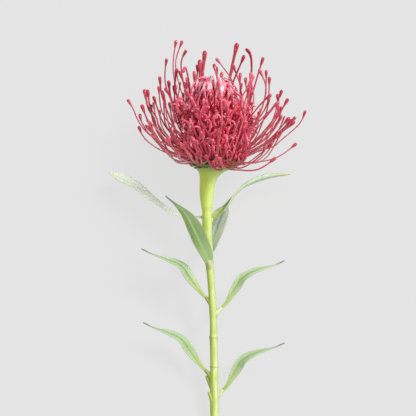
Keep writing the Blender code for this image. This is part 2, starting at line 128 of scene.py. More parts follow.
# How the bracts of a row differ: in their turn, in shares of one's place, in slope and in length.
BRACT_TURNS, BRACT_SLOPES, BRACT_LENGTHS = (-0.15, 0.15), (-7, 7), (0.85, 1.1)
# The cup that the bracts stand round: z, radius.
CUP = ((197.35, 2.0), (197.35, 8.0), (197.5, 12.4), (198.2, 14.6), (199.1, 15.2), (199.0, 13.6), (198.6, 2.0))

# The outline that the styles and buds are placed by: z, radius. The core itself lies a little further in and
# closes lower.
CORE = (
    (198.8, 11.0), (199.7, 13.2), (201.2, 15.0), (205.0, 16.2), (215.0, 16.9), (226.0, 15.6), (236.0, 12.2),
    (242.5, 7.2), (246.0, 0.0),
)
CORE_INSET, CORE_END = 0.8, (243.2, 3.0)
# Its buds: how many, the heights and slopes of the lowest and the highest, the range of their lengths, how
# much their slopes differ, how deep they are rooted, how far they bend up, and their radius from root to tip.
BUDS, BUD_HEIGHTS, BUD_SLOPES, BUD_LENGTHS = 210, (202.0, 242.0), (10.0, 80.0), (3.5, 6.5)
BUD_SCATTER, BUD_DEPTH, BUD_RISE = 14, 2.0, 1.25
BUD_RADII = (1.0, 1.0, 1.05, 1.3, 1.25, 0.6)

# How deep under the core's outline a style is rooted.
ROOT_DEPTH = 3.0
# The height over the surface at which a style's centre comes to rest, in shares of its radius.
SETTLED = 0.75
# How far a tube's end bulges, in shares of its radius.
END_BULGE = 0.45
# The distances between the points that a style's rings are set on, along its shaft and in its knob.
SHAFT_STEP, KNOB_STEP = 2.4, 0.25
# How far a style sways from its curve, over what length that comes in from its tip and from its root, and how
# uneven its radius is, as a share of it.
SWAY, STILL_TIP, STILL_ROOT, STYLE_UNEVENNESS = 2.4, 14, 10, 0.14

# Whorls of styles: how many, the range of the roots' heights, the radius and height of the lowest and of the
# highest tips, the ranges of the angles over the horizontal at which a style leaves the core and ends, and
# how far to the front the whorl goes, where -1 is all round, and from where to the right every other style
# is left out, where 1 is nowhere. The front is open so that the dome shows. The apron hangs over the bracts.
WHORLS = {
    "skirt": (26, (201.8, 204.2), (38.0, 55.0), (214.0, 237.0), (-5, 14), (32, 70), -0.72, 0.5),
    "bowl": (34, (204.0, 210.0), (51.0, 34.0), (234.0, 252.0), (6, 32), (60, 96), -0.5, 0.75),
    "vase": (32, (207.0, 217.0), (34.0, 19.0), (246.0, 262.0), (26, 50), (74, 104), -0.3, 0.5),
    "crown": (14, (212.0, 226.0), (24.0, 10.0), (254.0, 268.0), (48, 68), (82, 108), -0.1, 1.0),
    "apron": (26, (202.0, 203.4), (30.0, 50.0), (203.0, 226.0), (-34, -14), (20, 75), -1.0, 0.5),
}
# One more whorl, of short styles that bend in over the core, and how far their curves are drawn out.
DOME = (26, (226.0, 240.0), (12.0, 3.0), (246.0, 259.0), (20, 60), (135, 225), -1.0, 1.0)
DOME_PULL = 1.15
# How thick the styles are, in shares of the usual radius, and how dusty with age a whorl gets.
OUTER_THICKNESSES, INNER_THICKNESSES = (0.8, 0.9, 1.0, 1.0, 1.1, 1.3, 1.6), (0.9, 1.0, 1.15, 1.4)
WHORL_AGES = {"apron": 1.0, "skirt": 0.7, "bowl": 0.2}
# How unevenly the styles stand: shares of a whorl's range, a turn about the axis, a lean to one side, and how
# far that lean moves the tip.
SCATTER, TURN_SCATTER, LEAN_SCATTER, TIP_SHIFT = 0.25, 0.16, 0.28, 12.0
GOLDEN_TURN = math.radians(137.508)
# How far a style's own curve follows its directions at the root and at the tip, in shares of its reach.
ROOT_PULL, TIP_PULL = 0.5, 0.42

# Styles that show singly: how thick, how pale, how round in section, and points from root to tip.
SINGLE_STYLES = (
    (0.95, 0.5, 1, (2.5, -11, 206), (-0.5, -26, 214.5), (-11.5, -41, 231)),
    (1.5, 0.6, 0.6, (-3, -12, 214), (-10.5, -31, 232.5), (-18.5, -34, 247.5)),
    (0.6, 1.0, 0.6, (-9, -36, 224.5), (-8, -37, 231), (-5.5, -36, 240.5)),
    (1.0, 0.5, 1, (-4, -11, 204.5), (-7.5, -32, 208.5), (-13.5, -46, 223)),
    (1.2, 0.7, 1, (-2.5, -11, 204.5), (-5, -32, 209), (-8, -45, 219)),
    (1.1, 0.6, 1, (-5, -11, 202.5), (-8.5, -30, 202.5), (-13.5, -46, 214.5)),
    (0.95, 0.5, 1, (-4.5, -11, 202.5), (-9, -30, 202.5), (-18.5, -46, 212.5)),
    (1.05, 0.9, 1, (-0.5, -12, 202.5), (-0.5, -33, 208), (-1, -38.5, 214.5), (-3, -34, 212.5)),
    (1.0, 0.4, 1, (3.5, -12, 204), (3.5, -32, 210.5), (5.5, -38, 225.5), (4.5, -32, 245.5),
     (0.5, -26, 264.5)),
    (0.9, 0.9, 1, (4, -12, 207.5), (3, -32, 215.5), (2.5, -40, 220)),
    (1.05, 0.6, 1, (6, -12, 203), (5, -32, 206.5), (4, -42, 210.5)),
    (1.1, 0.5, 1, (-2.5, -12, 203), (1, -34, 195.5), (6, -40, 195.5), (1.5, -44, 204.5)),
    (1.15, 0.5, 1, (4.5, -12, 202.5), (2.5, -26, 196.5), (-1, -32, 197.5), (-5, -43, 204)),
    (0.95, 0.7, 1, (1.5, -12, 202.5), (1, -26, 197), (0, -36, 200.5)),
    (1.05, 0.7, 1, (7, -12, 202.5), (7.5, -26, 196.5), (4, -42, 202.5)),
    (0.6, 0.9, 0.7, (8.5, -12, 203), (9.5, -28, 201), (7.5, -38, 211)),
    (0.95, 0.3, 1, (7.5, -12, 203), (11, -24, 197.5), (20, -35, 201.5), (20.5, -42, 212.5),
     (19.5, -43, 222.5)),
    (0.9, 0.3, 1, (6, -12, 203), (9.5, -26, 196), (16, -30, 195), (29.5, -31, 195.5), (41, -28, 203)),
    (0.75, 0.2, 1, (8.5, -11, 202), (16.5, -20, 200), (39.5, -20, 202.5), (55.5, -14, 213)),
    (0.9, 0.3, 1, (7.5, -11, 203), (12.5, -24, 197.5), (19.5, -30, 196.5), (31, -33, 204.5),
     (34, -34, 211)),
    (0.85, 0.35, 1, (-10, -5, 203), (-31.5, -14, 212.5), (-40, -13, 217), (-46, -12.5, 222.5),
     (-50, -11.5, 229), (-53, -11, 236), (-57, -10, 242.5)),
    (0.85, 0.4, 1, (-10.5, 2.5, 203), (-37.5, 8, 216), (-43, 9, 220.5), (-46, 10, 224.5),
     (-49, 11, 230), (-50, 12, 234.5)),
    (0.8, 0.25, 1, (-10, -4, 203), (-30, -10, 206.5), (-44.5, -12, 215), (-49.5, -14, 224.5)),
    (1.05, 0.5, 1, (-9, -6.5, 203), (-29.5, -20, 208), (-36, -21, 214.5), (-42, -22, 225), (-47, -24, 238)),
    (1.3, 0.45, 1, (-10.5, 0.5, 203), (-34.5, 2, 218), (-40, 2.5, 231), (-43.5, 3, 237),
     (-45, 3.5, 243), (-46.5, 4, 250.5)),
    (1.1, 0.3, 1, (-10.5, 1.5, 203), (-33, 4, 219.5), (-38.5, 4.5, 232), (-42.5, 5, 238),
     (-43.5, 5.5, 243.5), (-44.5, 6, 250.5)),
    (1.0, 0.4, 1, (-10.5, 5, 204.5), (-32, 14, 225), (-41, 18, 247)),
    (1.05, 0.4, 1, (-11.5, -2, 210), (-24, -4, 221), (-33.5, -9, 243), (-35.5, -14, 257.5)),
    (0.85, 0.6, 1, (-11.5, 2.5, 211.5), (-28, 6, 226), (-34.5, 6.5, 235.5), (-37, 8, 253)),
    (0.85, 0.4, 1, (-11.5, 2.5, 219), (-21, 4, 227), (-31, -2, 249.5), (-32.5, -5, 258.5), (-31, -8, 270)),
    (1.2, 0.35, 1, (-11, -2, 222), (-21.5, -4, 230.5), (-28, -8, 243.5), (-29.5, -16, 254.5)),
    (1.25, 0.4, 1, (-10.5, 0, 227.5), (-17.5, 0, 232), (-23.5, -4, 243.5), (-25.5, -8, 253),
     (-24, -16, 262.5)),
    (1.1, 0.5, 0.8, (-5, 1, 227.5), (-9.5, 2, 233.5), (-16, -3.5, 244), (-22.5, -15, 261)),
    (1.1, 0.85, 1, (-7.5, 3.5, 234), (-13, 6, 239.5), (-18, -2.5, 263.5), (-20, -8, 261)),
    (1.05, 0.8, 1, (-7.5, 2.5, 234), (-12, 4, 243.5), (-12.5, -4, 261)),
    (2.2, 0.3, 0.85, (-4, 1, 234), (-8, 2, 243), (-9, 4, 270.5)),
    (2.3, 0.2, 0.85, (-3, 3.5, 234), (-7, 6.5, 255), (-5.5, 8, 277)),
    (0.8, 0.5, 1, (-10, 1, 227.5), (-20.5, 2, 235), (-27, 3.5, 262), (-25, 6, 284)),
    (0.8, 0.6, 1, (-8.5, 4.5, 229.5), (-17, 8, 235.5), (-25, 9.5, 266), (-21, 12, 284.5)),
    (0.95, 0.5, 1, (-8, 3.5, 232.5), (-15.5, 6, 236.5), (-21.5, 2, 265), (-18, -2, 276.5)),
    (1.9, 0.15, 0.9, (5.5, 5, 234), (8, 8, 243.5), (16.5, 10, 282.5)),
    (1.15, 0.3, 1, (6.5, 3.5, 234), (9.5, 6, 241), (14, 3, 256), (21, -6, 272.5)),
    (1.9, 0.1, 0.6, (12.5, 7, 225), (24, 14, 236), (26, 13.5, 249.5), (26, 12.5, 272.5), (22.5, 12, 279)),
    (1.15, 0.3, 0.9, (13, 2, 229), (22.5, 4, 235), (30, 3, 259), (34, 2, 272)),
    (0.95, 0.85, 1, (14.5, -5, 211.5), (26, -10, 222), (35, -11.5, 247), (30.5, -14, 262.5)),
    (0.85, 0.4, 1, (14.5, 6, 214), (28, 12, 227.5), (35.5, 12.5, 245.5), (36.5, 14, 264.5)),
    (0.9, 0.3, 1, (13.5, 7.5, 212), (29.5, 18, 229.5), (37.5, 18.5, 243), (39, 20, 260.5)),
    (0.85, 0.4, 1, (15, -2.5, 207.5), (25, -4, 216), (32, -5, 227), (42.5, -6.5, 240), (46, -8, 249)),
    (1.05, 0.4, 1, (12.5, 6.5, 203), (29.5, 16, 217), (43.5, 17, 234), (44.5, 18, 248.5)),
    (1.0, 0.5, 1, (13.5, -4, 203), (24.5, -8, 210.5), (39.5, -9.5, 226), (50, -12, 243)),
    (0.75, 0.3, 1, (14.5, -1, 203), (39, -1.5, 211), (45, -1, 215.5), (58, 1, 227), (62.5, 2, 236)),
    (1.7, 0.25, 0.8, (14, 3, 203), (37.5, 6, 215), (55.5, 6, 229)),
    (1.1, 0.3, 1, (14.5, 1, 203), (36, 2, 214), (53.5, 2, 230)),
    (0.95, 0.5, 1, (13.5, 4.5, 203), (37.5, 10.5, 218.5), (47, 12, 233.5)),
    (0.95, 0.35, 1, (13, -6, 203), (28.5, -14, 210), (39, -15, 217.5), (50.5, -18, 230)),
    (1.0, 0.6, 1, (12, -9.5, 215), (30, -21, 237), (38, -26, 244.5)),
    (1.05, 0.8, 1, (12.5, -8, 209.5), (20.5, -14, 218), (43, -22, 240)),
    (0.8, 0.95, 1, (11.5, 1.5, 234), (15, 2, 244.5), (12.5, -2, 256.5), (2, -14, 269.5)),
    (1.0, 0.8, 1, (3.5, 1, 234), (4.5, 2, 247), (6, 0, 262)),
    (1.2, 1, 0.8, (8, -11, 203), (13.5, -22, 208.5), (23, -22, 242.5), (25, -22, 259.5)),
    (1.05, 0.9, 0.8, (8, -12, 206.5), (12.5, -21, 215), (26.5, -20, 257.5)),
    (1.05, 1, 0.6, (10.5, -10, 204.5), (18, -18, 214), (22.5, -18.5, 231), (26.5, -19, 241.5),
     (24.5, -20, 257)),
    (0.95, 0.9, 1, (6, -13, 217.5), (8.5, -22, 225.5), (25.5, -22, 255)),
)
# How dusty they are, and how far they sway beside the other styles.
SINGLE_AGE, SINGLE_SWAY = 0.15, 0.2

# The swelling at a style's end: the distance from the tip and how far it has grown there from the shaft's
# radius to the knob's.
KNOB_SHAPE = ((0.0, 0.45), (0.35, 0.8), (0.95, 1.0), (1.9, 0.98), (3.0, 0.8), (4.3, 0.45), (6.0, 0.0))
# Up to this distance the shaft's radius plays no part, so that a thick style's end is rounded too.
KNOB_END = 0.7
# The knob's radius and length for a style without thickness and for the usual one, as shares of the usual.
KNOB_THICKENING, KNOB_LENGTHENING = (0.55, 1.0), (0.6, 1.0)

# Loops that crowd round the core: how many, and the ranges of their heights and of their distance from it.
LOOPS, LOOP_HEIGHTS, LOOP_GAPS = 240, (203.0, 252.0), (1.5, 5.5)
# How they close in over its top: the height, and the share of the core's radius.
LOOP_CLOSING = ((240.0, 1.0), (253.0, 0.25))
# The ranges of their bend's radius, of how far round they go, of their slope and turn to the side in degrees,
# of their half width, and of their thickness in shares of their width.
LOOP_BENDS, LOOP_TURNS, LOOP_SLOPES, LOOP_TWISTS = (2.0, 4.2), (110.0, 240.0), (50, 120), (-75, 75)
LOOP_WIDTHS, LOOP_FLATNESS = (0.7, 1.35), (0.5, 0.95)
# The angle at which a loop starts, how much its bend tightens, and how much longer than wide it is.
LOOP_START, LOOP_TIGHTENING, LOOP_LONG = math.radians(-70.0), 0.35, 1.5
# More of them stand further out on stalks: how many, the ranges of their heights and radii, of the height
# that a stalk climbs, and how deep it is rooted.
OUTER_LOOPS, OUTER_LOOP_HEIGHTS, OUTER_LOOP_RADII = 110, (212.0, 240.0), (20.0, 29.0)
STALK_HEIGHTS, STALK_DEPTH = (6.0, 14.0), 1.5

# Pale ribbons on top of the core: how many, the range of their roots' heights, the roots' distance from the
# core, and how unevenly they turn and shift to the side.
RIBBONS, RIBBON_ROOTS, RIBBON_GAP, RIBBON_TURN, RIBBON_SHIFT = 44, (239.0, 245.0), 0.5, 0.3, 3.0
# The ranges of the radius and height of their crests and of their ends, and how far they bulge on the way.
CREST_RADII, CREST_HEIGHTS = (11.0, 15.5), (252.0, 261.0)
END_RADII, END_HEIGHTS = (0.0, 5.0), (253.0, 260.0)
RIBBON_BULGE = 4.0
# The range of their half width, and their thickness in shares of their width.
RIBBON_WIDTHS, RIBBON_FLATNESS = (0.7, 1.4), 0.34

# Leaf outlines: the place along the leaf and the share of the full width there.
STALKED = ((0.0, 0.3), (0.1, 0.32), (0.2, 0.44), (0.32, 0.8), (0.44, 1.0), (0.56, 0.98), (0.68, 0.72),
           (0.78, 0.36), (0.86, 0.14), (1.0, 0.05))
BROAD_END = ((0.0, 0.2), (0.15, 0.28), (0.4, 0.46), (0.62, 0.78), (0.78, 1.0), (0.88, 0.78), (0.95, 0.3),
             (1.0, 0.05))
CLASPING = ((0.0, 0.45), (0.1, 0.66), (0.25, 0.9), (0.45, 1.0), (0.62, 0.8), (0.76, 0.42), (0.87, 0.14),
            (1.0, 0.05))
TWISTED = ((0.0, 0.5), (0.1, 0.8), (0.22, 1.0), (0.36, 0.85), (0.5, 0.62), (0.66, 0.72), (0.8, 0.62),
           (0.92, 0.28), (1.0, 0.05))
# How much of a leaf's fold is gone at its tip.
FOLD_FADE = 0.6
# How high the waves of a leaf's margin, its side veins and its midrib are.
MARGIN_WAVE, VEIN_HEIGHT, RIDGE_HEIGHT = 0.22, 0.07, 0.3
# How finely a leaf is built, in steps along and across, and how far to each side of a place its midrib's
# direction is taken.
BLADE_STEPS, BLADE_COLUMNS, RIB_STEP = 72, 22, 0.02

# Each leaf: its midrib from the stem outwards, half width, the way that its upper face looks at the base and
# at the tip, how far its halves fold up, its outline, and the root and tip radius of the nub that it sits on.
LEAVES = {
    "leaf_left_mid": (
        ((-4.8, 0.4, 109.8), (-8.2, 0.2, 113.4), (-14.4, -1.0, 121.6), (-20.8, -3.0, 130.6),
         (-29.9, -5.4, 135.4), (-39.6, -8.0, 139.0), (-47.7, -10.0, 143.0)),
        3.7, (-0.5, -0.65, 0.7), (0.1, -0.55, 1.0), 14, STALKED, (-0.4, 0.0, 104.6), 1.1),
    "leaf_right_mid": (
        ((5.5, 1.0, 102.6), (9.6, 1.2, 106.8), (15.2, 0.0, 116.2), (20.6, -2.0, 123.4),
         (29.6, -4.6, 128.4), (39.8, -6.4, 131.4), (47.7, -7.4, 135.0)),
        3.7, (0.5, -0.7, 0.6), (-0.2, -0.6, 1.0), 14, STALKED, (0.8, 0.0, 97.6), 1.3),
    "leaf_left_low": (
        ((-4.9, 1.0, 60.4), (-8.2, 1.2, 64.0), (-14.2, 1.6, 71.8), (-20.6, 0.6, 80.8),
         (-29.6, -0.6, 85.8), (-39.2, -1.2, 89.4), (-47.1, -1.6, 93.2)),
        3.7, (-0.5, -0.65, 0.7), (0.1, -0.5, 1.0), 14, STALKED, (0.2, 0.2, 55.2), 1.2),
    "leaf_right_low": (
        ((6.4, -0.6, 47.4), (9.8, -1.4, 51.0), (15.2, -2.4, 60.6), (20.6, -4.4, 68.4),
         (29.6, -7.0, 73.4), (39.8, -9.4, 76.8), (47.7, -11.0, 80.4)),
        3.7, (0.5, -0.7, 0.6), (-0.2, -0.6, 1.0), 14, STALKED, (1.8, 0.0, 42.0), 1.2),
    "leaf_front_left": (
        ((-3.3, -4.4, 134.4), (-5.0, -6.2, 139.0), (-9.2, -10.6, 147.6), (-13.0, -14.8, 156.0),
         (-17.6, -18.6, 164.4), (-24.0, -22.4, 171.8), (-31.2, -25.4, 178.0)),
        6.2, (0.3, -0.9, 0.5), (0.2, -0.8, 0.6), 26, CLASPING, (-2.6, -0.6, 129.4), 1.8),
    "leaf_back_left": (
        ((-7.6, 2.8, 164.0), (-15.5, 6.0, 163.8), (-27.4, 11.4, 166.6), (-41.8, 17.0, 176.2),
         (-53.0, 20.6, 185.0), (-63.6, 23.6, 190.8), (-71.4, 25.4, 194.8)),
        6.0, (0.3, -0.5, 0.8), (0.4, -0.5, 0.8), 20, BROAD_END, (-4.0, 0.4, 158.6), 1.2),
    "leaf_back_right_upper": (
        ((-0.4, 3.2, 162.6), (4.7, 4.8, 166.1), (9.8, 7.0, 171.2), (16.2, 10.5, 180.3),
         (26.0, 15.5, 187.2), (39.0, 20.5, 192.0), (53.8, 24.4, 193.6)),
        3.9, (-0.53, -0.7, 0.42), (-0.3, 0.9, 0.5), 36, TWISTED, (-3.8, 0.4, 157.4), 1.3),
    "leaf_back_right_lower": (
        ((-1.6, 5.0, 140.6), (-0.2, 7.8, 146.4), (2.6, 13.2, 154.4), (5.0, 18.6, 161.2),
         (7.4, 23.8, 166.8), (9.8, 28.4, 171.0), (12.4, 32.0, 174.4)),
        6.0, (-0.35, -0.85, 0.5), (-0.35, -0.85, 0.5), 18, CLASPING, (-2.8, 0.4, 135.6), 1.6),
}

# The colours of each leaf's upper face: left and right half, midrib, margins and stalk. Linear red, green and
# blue. Where the halves differ, that is partly painted shade and painted light on the two folded halves.
LEAF_COLOURS = {
    "leaf_left_mid": (
        (0.36, 0.48, 0.34), (0.5, 0.63, 0.45), (0.23, 0.35, 0.075), (0.46, 0.48, 0.26), (0.38, 0.49, 0.13)),
    "leaf_right_mid": (
        (0.54, 0.66, 0.48), (0.52, 0.7, 0.5), (0.31, 0.46, 0.11), (0.56, 0.6, 0.34), (0.42, 0.54, 0.15)),
    "leaf_left_low": (
        (0.36, 0.48, 0.34), (0.37, 0.49, 0.34), (0.23, 0.35, 0.075), (0.46, 0.48, 0.26), (0.38, 0.49, 0.13)),
    "leaf_right_low": (
        (0.5, 0.6, 0.4), (0.46, 0.63, 0.46), (0.3, 0.45, 0.1), (0.55, 0.6, 0.32), (0.42, 0.54, 0.15)),
    "leaf_front_left": (
        (0.095, 0.165, 0.065), (0.16, 0.25, 0.115), (0.26, 0.38, 0.11), (0.33, 0.35, 0.09),
        (0.29, 0.41, 0.16)),
    "leaf_back_left": (
        (0.68, 0.79, 0.66), (0.75, 0.84, 0.74), (0.7, 0.79, 0.6), (0.76, 0.78, 0.5), (0.8, 0.86, 0.74)),
    "leaf_back_right_upper": (
        (0.19, 0.27, 0.15), (0.42, 0.47, 0.2), (0.36, 0.44, 0.17), (0.56, 0.56, 0.25), (0.4, 0.48, 0.15)),
    "leaf_back_right_lower": (
        (0.38, 0.45, 0.34), (0.5, 0.57, 0.48), (0.19, 0.26, 0.16), (0.48, 0.53, 0.38), (0.36, 0.45, 0.28)),
}
# The half width of the midrib's colour, the leaves without a grey tip, and the one with the softest relief.
RIB_BAND = 1.4
GREEN_TIPPED = ("leaf_back_left", "leaf_back_right_upper")
SMOOTHEST_LEAF = "leaf_back_left"

# The floor's half side in metres and how far under the flower it lies, the ways to the two lights, and how
# wide the smaller one looks in degrees.
FLOOR_REACH, FLOOR_GAP = 6.0, 0.2 * MM
KEY_WAY, ACCENT_WAY, ACCENT_SOFTNESS = Vector((0.55, 0.45, 1.0)), Vector((0.72, 0.5, 0.95)), 14.0
WHITE = (1.0, 1.0, 1.0, 1.0)

# The camera of the photograph: the point that it looks at, its distance, and the width that it sees there.
VIEW_CENTRE = Vector((-3.37, 0.0, 170.2))
VIEW_DISTANCE, VIEW_WIDTH = 900.0, 280.4


# Curves and outlines.


def steps(count):
    """The places from 0 to 1 in count even steps."""
    return [k / count for k in range(count + 1)]


def between(ends, share):
    """The value at a share of the way from one end of a range to the other."""
    return ends[0] + (ends[1] - ends[0]) * share


def linear_at(outline, place):
    """The value of an outline of (place, value) pairs, along straight lines between them."""
    for (near, first), (far, second) in zip(outline, outline[1:]):
        if place <= far:
            return between((first, second), max(place - near, 0.0) / (far - near))
    return outline[-1][1]


def share_at(outline, place):
    """The value of an outline of (place, value) pairs, along a smooth curve through them."""
    last = len(outline) - 1
    index = next((k for k in range(last) if place <= outline[k + 1][0]), last - 1)
    (low, first), (high, second) = outline[index], outline[index + 1]
    slopes = []
    for k in (index, index + 1):
        near, far = outline[max(k - 1, 0)], outline[min(k + 1, last)]
        slopes.append((far[1] - near[1]) / (far[0] - near[0]) * (high - low))
    part = (place - low) / (high - low)
    square, cube = part**2, part**3
    value = (2 * cube - 3 * square + 1) * first + (3 * square - 2 * cube) * second
    return value + (cube - 2 * square + part) * slopes[0] + (cube - square) * slopes[1]


def smooth_at(points, place):
    """A point of the smooth curve through points, for place from 0 at the first to 1 at the last."""
    spot = min(max(place, 0.0), 1.0) * (len(points) - 1)
    index = min(int(spot), len(points) - 2)
    part = spot - index
    before, start = points[max(index - 1, 0)], points[index]
    end, after = points[index + 1], points[min(index + 2, len(points) - 1)]
    return Vector(
        b + 0.5 * part * (c - a + part * (2 * a - 5 * b + 4 * c - d + part * (3 * b - a - 3 * c + d)))
        for a, b, c, d in zip(before, start, end, after)
    )


def bezier(root, first, second, tip, count):
    """Points of a cubic curve in count even steps."""
    points = []
    for place in steps(count):
        rest = 1.0 - place
        start, end = root * rest**3, tip * place**3
        points.append(start + first * 3 * rest**2 * place + second * 3 * rest * place**2 + end)
    return points


def evenly(points, step):
    """Points at even distances of about step along a polyline, and its whole length."""
    lengths = [0.0]
    for near, far in zip(points, points[1:]):
        lengths.append(lengths[-1] + (far - near).length)
    count = max(2, round(lengths[-1] / step))
    found = []
    index = 0
    for place in steps(count):
        target = lengths[-1] * place
        while index < len(points) - 2 and lengths[index + 1] < target:
            index += 1
        span = max(lengths[index + 1] - lengths[index], 1e-6)
        found.append(points[index].lerp(points[index + 1], (target - lengths[index]) / span))
    return found, lengths[-1]


def outward(around):
    """The level way out of the head's axis, at an angle round it."""
    return Vector((math.cos(around), math.sin(around), 0.0))


def sideways(out):
    """The level way to the left of a level way out."""
    return Vector((-out.y, out.x, 0.0))


def slanted(out, slope):
    """The direction that goes outwards at a slope over the horizontal, in degrees."""
    return out * math.cos(math.radians(slope)) + UP * math.sin(math.radians(slope))


def on_axis(height):
    """The point of the head's axis at a height."""
    return Vector((HEAD_X, 0.0, height))


def lift(point, least):
    """Moves an upright point that would be under the surface up to least above it."""
    over = point.z * math.sin(LEAN) - point.y * math.cos(LEAN) + REST.z
    return point + max(least - over, 0.0) * Vector((0.0, -math.cos(LEAN), math.sin(LEAN)))


# Meshes.


class Sheet:
    """A mesh under construction. Its points carry the values along, across, tone and age for the finishes,
    and its faces lie in cells of a map for baking."""

    def __init__(self, cells):
        self.shape = bmesh.new()
        self.marks = [self.shape.verts.layers.float.new(name) for name in ("along", "across", "tone", "age")]
        self.map = self.shape.loops.layers.uv.new(BAKE_MAP)
        self.columns = max(1, round(math.sqrt(cells)))
        self.rows = math.ceil(cells / self.columns)
        self.cell = 0

    def point(self, place, marks=(0.0, 0.0, 0.0, 0.0)):
        vertex = self.shape.verts.new(place)
        for layer, value in zip(self.marks, marks):
            vertex[layer] = value
        return vertex

    def face(self, corners, spots):
        """A face with each corner's spot in the current cell of the map."""
        made = self.shape.faces.new(corners)
        made.smooth = True
        column, row = self.cell % self.columns, self.cell // self.columns
        for loop, (across, up) in zip(made.loops, spots):
            loop[self.map].uv = (
                (column + between(CELL_INSIDE, across)) / self.columns,
                (row + between(CELL_INSIDE, up)) / self.rows,
            )

    def skin(self, rings, poles):
        """Joins closed rings of points in their order, and closes the two ends round a pole each."""
        sides, last = len(rings[0]), len(rings) - 1
        spans = [(side, (side + 1) % sides, side / sides, (side + 1) / sides) for side in range(sides)]
        for index, (low, high) in enumerate(zip(rings, rings[1:])):
            bottom, top = index / last, (index + 1) / last
            for near, far, left, right in spans:
                self.face(
                    (low[near], low[far], high[far], high[near]),
                    ((left, bottom), (right, bottom), (right, top), (left, top)),
                )
        for ring, pole, level in ((rings[0], poles[0], 0.0), (rings[-1], poles[1], 1.0)):
            for near, far, left, right in spans:
                spots = ((left, level), (right, level), ((left + right) / 2, level))
                self.face((ring[near], ring[far], pole), spots)
        self.cell += 1

    def mesh(self, name):
        """The finished mesh."""
        bmesh.ops.recalc_face_normals(self.shape, faces=self.shape.faces)
        mesh = bpy.data.meshes.new(name)
        self.shape.to_mesh(mesh)
        self.shape.free()
        return mesh

    def helper(self, name, collection):
        """The finished mesh as an object that is fused into another one later."""
        made = bpy.data.objects.new(name, self.mesh(name))
        collection.objects.link(made)
        return made


def place_piece(name, mesh, finish, node):
    """Lays a mesh down with no point under the floor, and gives it its material and place in the frame."""
    mesh.transform(LAID)
    for vertex in mesh.vertices:
        vertex.co.z = max(vertex.co.z, 0.0)
    mesh.materials.clear()
    mesh.materials.append(finish)
    piece = bpy.data.objects.new(name, mesh)
    bpy.context.scene.collection.objects.link(piece)
    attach(piece, BODY)
    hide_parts(node)


def place_head_piece(name, sheet, finish):
    """Places a piece of the flower head."""
    place_piece(name, sheet.mesh(name), finish, "flower_head")


def add_tube(sheet, points, radii, sides, tone, age=0.0, flat=1.0, face=None):
    """A closed tube along points. flat presses its section along the normal that starts nearest to face."""
    last = len(points) - 1
    tangents = []
    for index in range(last + 1):
        tangents.append((points[min(index + 1, last)] - points[max(index - 1, 0)]).normalized())
    normal = face or (UP if abs(tangents[0].z) < 0.9 else Vector((1.0, 0.0, 0.0)))
    rings = []
    for index, (centre, radius, tangent) in enumerate(zip(points, radii, tangents)):
        normal = (normal - tangent * normal.dot(tangent)).normalized()
        aside = tangent.cross(normal)
        ring = []
        for side in range(sides):
            turn = 2 * math.pi * side / sides
            place = centre + (aside * math.cos(turn) + normal * math.sin(turn) * flat) * radius
            ring.append(sheet.point(place, (index / last, side / sides, tone, age)))
        rings.append(ring)
    first = sheet.point(points[0] - tangents[0] * radii[0] * END_BULGE, (0.0, 0.0, tone, age))
    second = sheet.point(points[-1] + tangents[-1] * radii[-1] * END_BULGE, (1.0, 0.0, tone, age))
    sheet.skin(rings, (first, second))


def add_turned(sheet, outline, sides):
    """A closed solid of revolution round the head's axis, from an outline of (z, radius) pairs."""
    rings = []
    for z, radius in outline:
        ring = []
        for side in range(sides):
            place = outward(2 * math.pi * side / sides) * radius + on_axis(z)
            ring.append(sheet.point(place, (0.0, side / sides, 0.5, 0.0)))
        rings.append(ring)
    poles = [sheet.point(on_axis(z), (0.0, 0.0, 0.5, 0.0)) for z in (outline[0][0], outline[-1][0])]
    sheet.skin(rings, poles)


# Materials.


